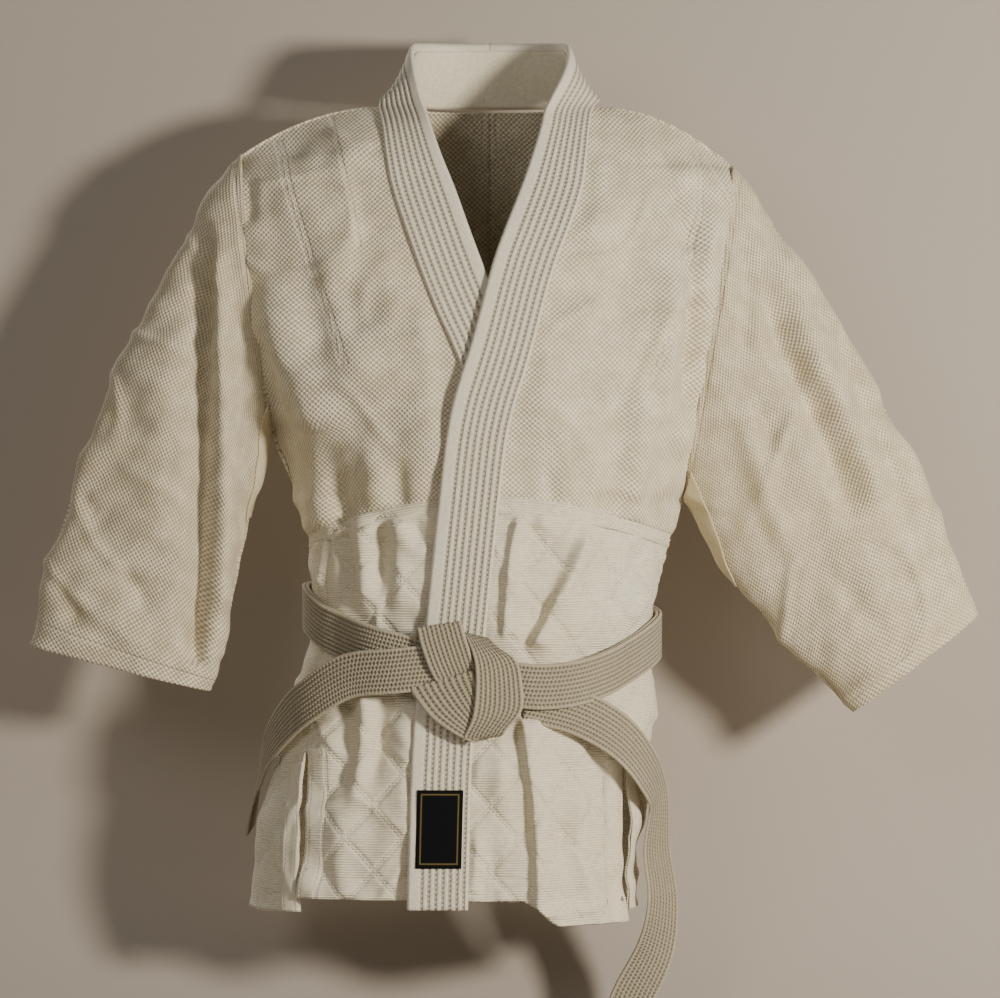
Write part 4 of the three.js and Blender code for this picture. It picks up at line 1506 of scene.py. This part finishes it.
@dataclass
class Sleeve:
    """One sleeve with its underarm gusset and turned-up cuff."""

    side: Side
    cottons: Cottons

    SHAPES = {
        Side.LEFT: dict(reach=(224, -412), cuff=(-116, -88), crown=32, sag=34, drift=-16),
        Side.RIGHT: dict(reach=(-191, -451), cuff=(166, -42), crown=50, sag=16, drift=-12),
    }

    def __post_init__(self) -> None:
        """Work out the upper and lower edge lines."""
        shape, s = self.SHAPES[self.side], self.side.value
        (rx, rz), (cx, cz) = shape["reach"], shape["cuff"]
        tip, under = BODY.tips[self.side], BODY.underarms[self.side]
        top = np.array([s * tip[0], 0.0, tip[1]])
        low = np.array([s * under[0], 0.0, under[1]])
        outer_end = np.array([top[0] + rx, shape["drift"], top[2] + rz])
        inner_end = outer_end + np.array([cx, 0, cz])
        across = unit(np.array([-s * rz, 0.0, s * rx]))
        self.upper = (top, (top + outer_end) / 2 + across * shape["crown"], outer_end)
        self.lower = (low, (low + inner_end) / 2 - np.array([0, 0, shape["sag"]]), inner_end)
        self.length = math.hypot(rx, rz)

    @staticmethod
    def bezier(points: Sequence[Array], a: Array) -> Array:
        """Point of a quadratic curve."""
        a = np.asarray(a, float)[..., None]
        return (1 - a) ** 2 * points[0] + 2 * a * (1 - a) * points[1] + a * a * points[2]

    def middle(self, a: Array) -> Array:
        """Centre line of the sleeve."""
        return (self.bezier(self.upper, a) + self.bezier(self.lower, a)) / 2

    def place(self, around: Array, along: Array) -> Array:
        """Surface of the sleeve: around from 0 to 1, starting at the underarm, and along to the cuff.

        Args:
            around: shares round the sleeve.
            along: shares along the sleeve.

        Returns:
            The place of the cloth.
        """
        turn = (around * 2 - 1) * np.pi
        centre = self.middle(along)
        p = centre + (self.bezier(self.upper, along) - centre) * np.cos(turn)[..., None]
        p[..., 1] += mix(BODY.arm_depth, 27, along) * np.sin(turn)
        return p

    def underarm(self, a: Array, t: Array) -> Array:
        """Surface of the gusset, which narrows from the armhole down the sleeve's lower seam."""
        width = 0.1 * np.sqrt(np.clip(1 - t, 0.04, 1))
        return self.place((a - 0.5) * 2 * width, 0.012 + t * 0.32)

    def seams(self, base: Array, around: Array, along: Array) -> Array:
        """Stitch lines: the armhole, the cuff hem and the lower seam.

        Args:
            base: not used.
            around: shares round the sleeve.
            along: distances along, as shares or mm.

        Returns:
            Distances over the seams, in mm.
        """
        run = around * SLEEVE_ROUND
        return nearest_seam(
            stitches(run, along * self.length - 7),
            stitches(run, (1 - along) * self.length - CUFF),
            stitches(along * self.length, np.minimum(around, 1 - around) * SLEEVE_ROUND - 5),
        )

    def flat(self, base: Array, uv: Array) -> Array:
        """Lay the weave straight along the sleeve.

        Args:
            base: points of the cloth without folds, in mm.
            uv: distances over the cloth, in mm.

        Returns:
            Distances over the flat cloth, in mm.
        """
        ahead = unit(self.middle(np.array(1.0)) - self.middle(np.array(0.0)))
        half = uv.shape[1] // 2
        return np.stack([uv[..., 0] - uv[:, half : half + 1, 0], base @ ahead * MM], axis=-1)

    def make(self) -> None:
        """Build the tube, the gusset and the cuff hem."""
        word = self.side.word
        drape = Drape(SLEEVE_FOLDS[self.side], seed=31 + self.side.value, reach=115, height=2.8)
        tube = Cloth(
            f"sleeve_{word}_cloth", self.place, 230, 150, self.cottons.sleeve, drape, lift=0.4,
            down=(-0.006, 1), seam=self.seams, centre=lambda a, t: self.middle(t), flat=self.flat,
            calm=lambda base, a, t, height: height * rise(t * self.length, 0, 14),
        ).make()
        size, area = cut_size(self.place)
        declare(tube, [f"sleeve_{word}"], size, [f"front_panel_{word}_cloth"])
        gusset = Cloth(
            f"gusset_{word}_cloth", self.underarm, 40, 60, self.cottons.gusset, drape, lift=2.0,
            thickness=1.4, seam=lambda base, a, t: stitches(t * 150, np.minimum(a, 1 - a) * 120 + 3),
            centre=lambda a, t: self.middle(0.012 + t * 0.32),
        ).make()
        patch, patch_area = cut_size(self.underarm)
        declare(gusset, [f"gusset_{word}"], patch, [tube.name])
        turned = (1 - CUFF / self.length, 1)
        cuff = Cloth(
            f"cuff_hem_{word}_cloth", self.place, 200, 6, self.cottons.tape, drape, lift=-2.0, thickness=1.2,
            down=turned, centre=lambda a, t: self.middle(t),
        ).make()
        hem_area = cut_size(self.place, down=turned)[1]
        declare(cuff, [f"cuff_hem_{word}"], (CUFF, size[0]), [tube.name])
        for obj in (tube, gusset, cuff):
            bend_with_sleeve(obj, self.side)


@dataclass
class Lapels:
    """The long band folded round a core: up one front, round the neck and down the other."""

    cottons: Cottons

    def edges(self, side: Side) -> tuple[Array, Array, Array]:
        """Free edge, sewn edge and outward hint of one half band, from the centre back to its end.

        Args:
            side: the side of the jacket.

        Returns:
            The free edge, the sewn edge and the direction out.
        """
        s = side.value
        end = -730 if side is Side.LEFT else -724
        levels = np.array([-4, -24, -50, -80, *np.linspace(-115, end, 24)])
        rows = {}
        for part in (-1, 1):
            x = BODY.lapel_edge(side, levels, part)
            rows[part] = list(zip(x, BODY.front(x, levels, side), levels))
        rise_to = BODY.collar_rise + 8
        free = [(-s * 1.5, 58, rise_to + 1), (s * 31, 53.0, rise_to), (s * 59, 33, rise_to - 2.2)]
        free += [(s * 70, 2, rise_to - 8.4), (s * 67, -24, rise_to * 0.5)] + rows[-1]
        sewn = [(-s * 1.5, 59, 2), (s * 32, 57.5, 2), (s * 60, 50, 2), (s * 88, 26, 2.4), (s * 99, -4, 4)]
        free, sewn = np.array(free, float), np.array(sewn + rows[1], float)
        gaps = np.linalg.norm(np.diff((free + sewn) / 2, axis=0), axis=1)
        knots = np.concatenate([[0], np.cumsum(gaps)])
        fine = np.linspace(0, knots[-1], 330)
        free, sewn = curve(knots, free, fine), curve(knots, sewn, fine)
        around_neck = fall(fine, knots[3], knots[6])[:, None]
        hint = unit((free + sewn) / 2 * np.array([1, 1, 0.0]) - np.array([0, 8, 0.0])) * around_neck
        return free, sewn, unit(hint + np.array([0, -1.0, 0]) * (1 - around_neck))

    def make(self) -> None:
        """Build both halves, the neck lining and the label."""
        for side in Side:
            free, sewn, hint = self.edges(side)
            wave = undulation(free[:, 2], free[:, 0], 8 + side.value, 120, 0.8)[:, None]
            lift = np.array([0, -1.0, 0]) * wave
            obj = Band(
                f"lapel_{side.word}_band", free + lift, sewn + lift, hint, BODY.lapel_core,
                self.cottons.lapel, rows=LAPEL_ROWS, ridge_height=1.1, sink=2.0, across_points=52,
            ).make()
            layers = ("cover", "core")
            nodes = [f"lapel_{part}{side.word}_{layer}" for part in ("", "end_") for layer in layers]
            if side is Side.LEFT:
                nodes += [f"collar_{layer}" for layer in layers]
            size = (BODY.lapel_width, path_length((free + sewn) / 2))
            declare(obj, nodes, size, [f"front_panel_{side.word}_cloth"])
            bend_with_flap(obj, f"front_flap_{side.word}")
        self.neck_lining()
        self.label()

    def neck_lining(self) -> None:
        """The plain cloth inside the collar."""
        free, sewn, hint = (
            np.concatenate([left[70:0:-1], right[1:70]])
            for left, right in zip(self.edges(Side.LEFT), self.edges(Side.RIGHT))
        )

        def at(a: Array, t: Array) -> Array:
            """Points of this cloth for shares across and down."""
            i = np.rint(a * (len(free) - 1)).astype(int)
            return free[i] + (sewn - free)[i] * (0.12 + 0.86 * t)[..., None] - hint[i] * 3.0

        obj = Cloth(
            "neck_lining_cloth", at, len(free) - 1, 20, self.cottons.tape, Drape((), 5, 60, 0.2),
            thickness=1.2, centre=lambda a, t: np.stack([0 * a, 8 + 0 * a, mix(50, 0, t)], axis=-1),
        ).make()
        size, area = cut_size(at, 90, 8)
        declare(obj, ["neck_lining"], size, ["lapel_left_band"])
        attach(obj, "jacket")

    def label(self) -> None:
        """The woven patch near the end of the left lapel, without lettering."""
        side, top, (wide, tall) = Side.LEFT, -623, LABEL_SIZE

        def at(a: Array, t: Array) -> Array:
            """Points of this cloth for shares across and down.

            Args:
                a: shares across the cloth.
                t: shares down the cloth.

            Returns:
                Points of the cloth, in mm.
            """
            z = top - tall * t
            x = mix(BODY.lapel_edge(side, z, -1), BODY.lapel_edge(side, z, 1), 0.5) + (a - 0.5) * wide
            return np.stack([x, BODY.front(x, z, side), z], axis=-1)

        obj = Cloth(
            "woven_label", at, 20, 34, self.cottons.label, Drape((), 6, 60, 0.15), lift=5.4, thickness=0.8
        ).make()
        declare(obj, ["label_patch"], LABEL_SIZE, ["lapel_left_band"])
        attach(obj, "front_flap_left")


# height of the belt's middle above belt_z, over the angle round the waist
BELT_PATH = (
    (-180, 12), (-90, 20), (-55, -2), (-20, -23), (12, -50),
    (40, -38), (68, -16), (90, -6), (135, 6), (180, 12),
)
belt_height = through([(angle, BODY.belt_z + up) for angle, up in BELT_PATH[::-1]])


def pillow(uv: Array) -> Array:
    """Soft swelling of the quilting between its diamond stitch lines, in mm.

    Args:
        uv: distances over the cloth, in mm.

    Returns:
        Height of the padding, in mm.
    """
    u, v = (uv[..., k] / MM / DIAMOND[k] for k in (0, 1))
    near = np.minimum(*[np.abs((u + k * v + 0.5) % 1 - 0.5) for k in (1, -1)])
    return 1.1 * (1 - np.exp(-near / 0.12))


@dataclass
class Skirt:
    """The quilted skirt: two fronts and a back that goes round both sides to the vents."""

    cottons: Cottons

    def front_place(self, side: Side) -> Place:
        """Surface of a front skirt; a runs from the lapel to the vent.

        Args:
            side: the side of the jacket.

        Returns:
            The place of the cloth.
        """
        s = side.value

        def at(a: Array, t: Array) -> Array:
            """Points of this cloth for shares across and down.

            Args:
                a: shares across the cloth.
                t: shares down the cloth.

            Returns:
                Points of the cloth, in mm.
            """
            row = mix(BODY.waist, BODY.hem, t)
            edge = BODY.vent_line[side](row) - s * BODY.slit(row)
            x = mix(BODY.lapel_edge(side, row, 1) - s * 5, edge, a)
            dip = BODY.hem_dip * rise(x, 25, 65) if side is Side.LEFT else 0.0
            z = mix(BODY.waist_line(x), BODY.hem - dip, t)
            return np.stack([x, BODY.front(x, z, side), z], axis=-1)

        return at

    def back_place(self, a: Array, t: Array) -> Array:
        """Surface of the back skirt; a runs from the left vent to the right one.

        Args:
            a: shares across the cloth.
            t: shares down the cloth.

        Returns:
            Points of the cloth, in mm.
        """

        def angle(z: Array) -> Array:
            """Angle of the cloth at a height."""
            start = BODY.angle_at(BODY.vent_line[Side.LEFT](z) + BODY.slit(z), z)
            return mix(start, BODY.angle_at(BODY.vent_line[Side.RIGHT](z) - BODY.slit(z), z) + 360, a)

        z = mix(BODY.waist, BODY.back_hem, t)
        for _ in range(6):
            z = mix(BODY.waist_line(BODY.section(angle(z), z)[..., 0]), BODY.back_hem, t)
        return BODY.section(angle(z), z)

    @staticmethod
    def settle(base: Array, from_vent: Array, t: Array, height: Array) -> Array:
        """Settle the cloth at the waist, under the belt and where front and back are sewn together.

        Args:
            base: points of the cloth without folds, in mm.
            from_vent: distance from the vent, in mm.
            t: shares down the cloth.
            height: height of the folds, in mm.

        Returns:
            Height of the folds that is left, in mm.
        """
        x, z = base[..., 0], base[..., 2]
        joined = 1 - fall(from_vent, 0, 14) * rise(z, BODY.vent_top - 25, BODY.vent_top)
        front = BODY.angle_at(x, z)
        angle = np.where(base[..., 1] < 0, front, np.where(x > 0, 180 - front, -180 - front))
        tied = fall(np.abs(z - belt_height(angle)), 20, 44)
        squeeze = 4.5 * rise(np.abs(angle), 20, 46)
        height = mix(height * joined, np.minimum(height * joined, 1.5) - squeeze, tied)
        return height * rise(t * 360, 0, 10)

    @staticmethod
    def seams(z: Array, along: Array, from_hem: Array, from_vent: Array, t: Array) -> Array:
        """Stitch lines of the hem and, below the vent's top, of the facing and the edge.

        Args:
            z: heights, in mm.
            along: distances along, as shares or mm.
            from_hem: distance from the hem, in mm.
            from_vent: distance from the vent, in mm.
            t: shares down the cloth.

        Returns:
            Distances over the seams, in mm.
        """
        above = 40 * (t < 0.55)
        return nearest_seam(
            stitches(along, from_hem - HEM),
            stitches(-z, np.abs(from_vent - FACING) + above),
            stitches(-z, np.abs(from_vent - 3) + above),
        )

    def front(self, side: Side) -> None:
        """One front skirt with its facing and hem.

        Args:
            side: the side of the jacket.
        """
        place, word, flap = self.front_place(side), side.word, f"front_flap_{side.word}"
        size, area = cut_size(place)
        width = size[0]

        def seams(base: Array, a: Array, t: Array) -> Array:
            """Distances from the stitch lines of this cloth."""
            return self.seams(base[..., 2], base[..., 0], (1 - t) * FRONT_SKIRT, (1 - a) * width, t)

        def calm(base: Array, a: Array, t: Array, height: Array) -> Array:
            """Folds made flatter near the edges and seams.

            Args:
                base: points of the cloth without folds, in mm.
                a: shares across the cloth.
                t: shares down the cloth.
                height: height of the folds, in mm.

            Returns:
                Height of the folds that is left, in mm.
            """
            height = self.settle(base, (1 - a) * width, t, height)
            if side is Side.LEFT:
                beyond = base[..., 0] - BODY.lapel_edge(Side.RIGHT, base[..., 2], -1)
                height = np.maximum(height, -1.8 - 30 * rise(beyond, 0, 14))
            return 0.3 + height * rise(a * width, 0, 14)

        drape = Drape(SKIRT_FOLDS[side], seed=21 + side.value, reach=80, height=2.0)
        obj = Cloth(
            f"skirt_front_{word}_cloth", place, 90 if side is Side.RIGHT else 110, 170, self.cottons.skirt,
            drape, lift=0.4, seam=seams, puff=pillow, calm=calm, flat=straight(side),
        ).make()
        nodes = [f"skirt_front_{word}", f"skirt_flap_{word}"]
        declare(obj, nodes, size, [f"front_panel_{word}_cloth"])
        bend_with_flap(obj, flap)
        strip = (1 - FACING / width, 1)
        self.trim(f"vent_facing_front_{word}", place, drape, flap, across=strip, down=(0.59, 1))
        self.trim(f"hem_front_{word}", place, drape, flap, down=(1 - HEM / FRONT_SKIRT, 1))

    def back(self) -> None:
        """The back skirt with its facings and hem."""
        place = self.back_place
        size, area = cut_size(place)
        width = size[0]

        def seams(base: Array, a: Array, t: Array) -> Array:
            """Distances from the stitch lines of this cloth."""
            return self.seams(base[..., 2], a * width, (1 - t) * BACK_SKIRT, np.minimum(a, 1 - a) * width, t)

        def calm(base: Array, a: Array, t: Array, height: Array) -> Array:
            """Folds made flatter near the edges and seams."""
            return self.settle(base, np.minimum(a, 1 - a) * width, t, height) - 0.5

        drape = Drape((), seed=27, reach=90, height=2.4)
        obj = Cloth(
            "skirt_back_cloth", place, 240, 130, self.cottons.skirt, drape, lift=-0.3, seam=seams,
            puff=pillow, calm=calm,
        ).make()
        nodes = ["skirt_back", "skirt_flap_back"]
        declare(obj, nodes, size, ["back_panel_left_cloth"])
        bend_with_flap(obj, "back_flap")
        share = FACING / width
        for side, span in ((Side.LEFT, (0, share)), (Side.RIGHT, (1 - share, 1))):
            name = f"vent_facing_back_{side.word}"
            self.trim(name, place, drape, "back_flap", across=span, down=(0.6, 1))
        self.trim("hem_back", place, drape, "back_flap", down=(1 - HEM / BACK_SKIRT, 1))

    def trim(
        self, node: str, place: Place, drape: Drape, body: str,
        across: Span | None = None, down: Span = (0, 1),
    ) -> None:
        """A facing on the skirt, or a hem inside it where across isn't given.

        Args:
            node: the node that the piece stands for.
            place: gives the points of the cloth for its shares across and down.
            drape: folds of the cloth.
            body: not used; bend_with_flap ignores it.
            across: share of the cloth across that it covers, from and to.
            down: share of the cloth down that it covers, from and to.
        """
        if across:
            shape = dict(columns=8, rows=60, lift=1.6, across=across)
        else:
            shape = dict(columns=160, rows=8, lift=-2.0, across=(0, 1))

        def seams(base: Array, a: Array, t: Array) -> Array:
            """Distances from the stitch lines of this cloth.

            Args:
                base: points of the cloth without folds, in mm.
                a: shares across the cloth.
                t: not used.

            Returns:
                Distances over the seams, in mm.
            """
            if not across:
                return np.full((*a.shape, 2), NO_SEAM)
            part = (a - across[0]) / (across[1] - across[0])
            return stitches(-base[..., 2], np.minimum(part, 1 - part) * FACING - 2.5)

        obj = Cloth(
            f"{node}_cloth", place, material=self.cottons.tape, drape=drape, thickness=1.2,
            down=down, seam=seams, **shape,
        ).make()
        size, area = cut_size(place, 80, 30, shape["across"], down)
        declare(obj, [node], size)
        bend_with_flap(obj, body)

    def make(self) -> None:
        """Build the fronts and the back."""
        for side in Side:
            self.front(side)
        self.back()


# the folds of the knot: their two edge lines as (x, z), and how far each station stands out
KNOT = {
    "knot_upper_fold": (
        [(-69, -494), (-68, -484), (-65, -480), (-62, -492), (-55, -512), (-47, -528), (-40, -540)],
        [(-29, -488), (-28, -478), (-25, -474), (-21, -486), (-16, -502), (-12, -516), (-8, -530)],
        [(-5, -5), (0.5, 1), (4, 4.5), (6.5, 7), (6, 6.5), (1.5, 1.5), (-2, -2)],
    ),
    "knot_lower_fold": (
        [(-69, -538), (-71, -533), (-66, -541), (-53, -557), (-38, -568), (-24, -576), (-14, -580)],
        [(-14, -524), (-14, -517), (-12, -523), (-9, -532), (-6, -543), (-2, -553), (2, -560)],
        [(-2, -2), (3.5, 5.5), (5, 7), (6, 7.5), (6, 7), (4, 5), (1, 2)],
    ),
    "knot_loop": (
        [(-26, -482), (-20, -490), (-14, -508), (-13, -532), (-16, -556), (-23, -572), (-27, -577)],
        [(-2, -488), (8, -496), (24, -507), (29, -528), (29, -549), (16, -566), (10, -572)],
        [(1, 0), (6, 4), (10, 7.5), (11.5, 8.5), (10.5, 8), (6, 6), (1, 1)],
    ),
}


@dataclass
class Belt:
    """The stitched belt: two turns round the waist, a flat knot and two free ends."""

    cottons: Cottons
    thickness: float = 3.2
    turn: float = 3.6
    front_stack: float = BODY.over_lift + 4.4 + 3.4

    def lift(self, angle: Array) -> Array:
        """How far the belt stands off the jacket; in front it lies over both lapels."""
        return mix(-2.2, self.front_stack, fall(np.abs(angle), 22, 52))

    def lying(self, x: float, z: float, up: float) -> tuple[float, float, float]:
        """A point of the knot, up mm in front of the belt's outer face.

        Args:
            x: distance from the middle, in mm.
            z: height from the neck, in mm.
            up: rise off the body, in mm.

        Returns:
            A point of the tail, in mm.
        """
        angle = BODY.angle_at(np.array(float(x)), np.array(float(BODY.belt_z)))
        p = BODY.section(angle, belt_height(angle), self.lift(angle) + 2 * self.turn + up)
        return float(x), float(p[1]), float(z)

    def band(self, node: str, free: Array, sewn: Array, hint: Array, held: str, loop: bool = False) -> Piece:
        """Build and declare one length of belt.

        Args:
            node: the node that the piece stands for.
            free: points of the free edge, in mm.
            sewn: points of the sewn edge, in mm.
            hint: direction that faces out at each point.
            held: not used.
            loop: whether the band closes on itself.

        Returns:
            The finished band.
        """
        obj = Band(
            f"{node}_band", free, sewn, hint, self.thickness, self.cottons.belt, rows=BELT_ROWS,
            ridge_height=0.8, loop=loop, across_points=46, cut_width=BODY.belt_width,
        ).make()
        width = float(np.median(np.linalg.norm(free - sewn, axis=1)))
        declare(obj, [node], (width, path_length((free + sewn) / 2)))
        return obj

    def turns(self) -> None:
        """The two turns round the waist."""
        for i, node in enumerate(("belt_inner_turn", "belt_outer_turn")):
            angle = np.linspace(-180, 180, 361)
            z = belt_height(angle)
            w = self.lift(angle) + i * self.turn + undulation(angle * 3.0, z * 0, 60 + i, 90, 0.25)
            p = BODY.section(angle, z, w)
            out = BODY.section(angle, z, w + 1) - p
            half = np.array([0, 0, BODY.belt_width / 2])
            lower = p - half - out * 0.35 * i
            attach(self.band(node, p + half, lower, out, "stretched", loop=True), "jacket")

    def fold(self, node: str, left: Rows, right: Rows, ups: Sequence[Span]) -> None:
        """One fold of the knot between two edge lines of (x, z), with its rise at each station.

        Args:
            node: the node that the piece stands for.
            left: rows of the left edge line.
            right: rows of the right edge line.
            ups: rows of (position, rise).
        """
        places, fine = np.linspace(0, 1, len(left)), np.linspace(0, 1, 60)
        edges = []
        for k, line in enumerate((left, right)):
            points = np.array([self.lying(x, z, up[k]) for (x, z), up in zip(line, ups)])
            edges.append(curve(places, points, fine))
        hint = np.broadcast_to(np.array([0.0, -1.0, 0.0]), edges[0].shape)
        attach(self.band(node, *edges, hint, "folded"), "jacket")

    def tail(self, node: str, rows: Points) -> None:
        """A free end of the belt.

        Args:
            node: its node.
            rows: section angle, height above belt_z, lift off the body and facing angle, from the knot.
        """
        data = np.array(rows, float)
        places, fine = np.arange(len(data)), np.linspace(0, len(data) - 1, 230)
        p = curve(places, BODY.section(data[:, 0], BODY.belt_z + data[:, 1], data[:, 2]), fine)
        turn = np.radians(curve(places, data[:, 3:], fine)[:, 0])
        out = np.stack([np.sin(turn), -np.cos(turn), 0 * turn], axis=1)
        along = unit(np.gradient(p, axis=0))
        across = unit(np.cross(along, out))
        out = unit(np.cross(across, along))
        half = across * BODY.belt_width / 2
        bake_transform(self.band(node, p - half, p + half, out, "hung"))

    def make(self) -> None:
        """Build the turns, the knot and the tails."""
        self.turns()
        for node, lines in KNOT.items():
            self.fold(node, *lines)
        outer = self.front_stack + 2 * self.turn
        right = [(-3, -30, outer - 0.6, -4), (-20, -36, outer + 0.4, -14), (-37, -42, 18, -30)]
        right += [(-53, -65, 14, -50), (-67, -85, 9, -66), (-84, -111, 8, -84), (-94, -134, 8, -92)]
        right += [(-100, -157, 9, -96), (-104, -190, 10, -98)]
        self.tail("belt_tail_right", right)
        left = [(12, -62, self.front_stack - 4, 4), (28, -74, 13, 16), (44, -97, 17, 38), (58, -129, 21, 56)]
        left += [(74, -157, 15, 60), (80, -203, 15, 52), (80, -249, 21, 46), (82, -295, 14, 28)]
        left += [(82, -339, -6, 12), (82, -362, -14, 8)]
        self.tail("belt_tail_left", left)


# ---------------------------------------------------------------- studio


@dataclass
class Studio:
    """A pale floor and wall, soft lights and the camera in front of the jacket; sizes are in metres."""

    wall: str = "A79D91"
    wall_at: float = 0.14
    floor_at: float = -0.93
    bend: float = 0.3
    half_width: float = 3.0
    steps: int = 16

    def stage(self) -> None:
        """Build the floor and the wall, seen only from in front and without a shadow of their own."""
        g = Graph("pale_backdrop_paper")
        paper = g.add("BsdfPrincipled", {"Base Color": linear(self.wall), "Roughness": 0.9})
        behind = g.add("NewGeometry", out="Backfacing")
        g.close(g.add("MixShader", {0: behind, 1: paper, 2: g.add("BsdfTransparent")}))
        profile = [(-2.5, self.floor_at)]
        for k in range(self.steps + 1):
            turn = k / self.steps * math.pi / 2
            away = self.wall_at - self.bend + self.bend * math.sin(turn)
            profile.append((away, self.floor_at + self.bend * (1 - math.cos(turn))))
        profile.append((self.wall_at, 2.0))
        bm = bmesh.new()
        ends = (-self.half_width, self.half_width)
        rails = [[bm.verts.new((x, y, z)) for x in ends] for y, z in profile]
        for low, high in zip(rails, rails[1:]):
            bm.faces.new((low[0], low[1], high[1], high[0])).smooth = True
        mesh = bpy.data.meshes.new("backdrop")
        bm.to_mesh(mesh)
        bm.free()
        mesh.materials.append(g.material)
        drop = self.show("backdrop", mesh)
        drop.visible_shadow = False

    @staticmethod
    def show(name: str, data: bpy.types.ID) -> Piece:
        """Put an object with this data in the scene.

        Args:
            name: name of the object.
            data: its data.

        Returns:
            The object.
        """
        obj = bpy.data.objects.new(name, data)
        bpy.context.scene.collection.objects.link(obj)
        return obj

    def light(self, name: str, place: Triple, aim: Triple, size: float, power: float, tint: Triple) -> None:
        """Add one soft area light that shines from place to aim.

        Args:
            name: name of the light.
            place: where it stands.
            aim: the point that it shines at.
            size: its width.
            power: its power in watts.
            tint: its linear colour.
        """
        data = bpy.data.lights.new(name, "AREA")
        data.shape, data.size, data.energy, data.color = "DISK", size, power, tint
        lamp = self.show(name, data)
        lamp.location = place
        d = np.array(aim, float) - np.array(place, float)
        lamp.rotation_euler = (math.atan2(math.hypot(d[0], d[1]), -d[2]), 0.0, math.atan2(-d[0], d[1]))

    def make(self) -> None:
        """Build the stage, the lights and the camera."""
        self.stage()
        self.light("key", (1.42, -1.65, -0.12), (0, 0, -0.36), 0.32, 61, (1.0, 0.95, 0.86))
        self.light("fill", (-1.2, -2.2, 0.6), (0, 0, -0.4), 1.2, 11, (1.0, 0.97, 0.92))
        self.light("rim", (-1.0, 1.9, 0.7), (0, 0, -0.3), 1.2, 30, (1.0, 0.98, 0.95))
        world = bpy.data.worlds.new("soft_room")
        world.use_nodes = True
        sky = world.node_tree.nodes["Background"].inputs
        sky[0].default_value, sky[1].default_value = (0.9, 0.92, 0.95, 1), 0.15
        bpy.context.scene.world = world
        data = bpy.data.cameras.new("camera")
        data.lens, data.sensor_width = 156, 36
        camera = self.show("camera", data)
        camera.location = (0.009, -4.0, -0.362)
        camera.rotation_euler = (math.pi / 2, 0, 0)
        bpy.context.scene.camera = camera


def main() -> None:
    """Build the jacket and its studio."""
    logging.basicConfig(level=logging.INFO)
    cottons = Cottons()
    UpperBody(cottons).make()
    for side in Side:
        Sleeve(side, cottons).make()
    Lapels(cottons).make()
    Skirt(cottons).make()
    Belt(cottons).make()
    Studio().make()
    bpy.context.view_layer.update()


if __name__ == "__main__":
    main()
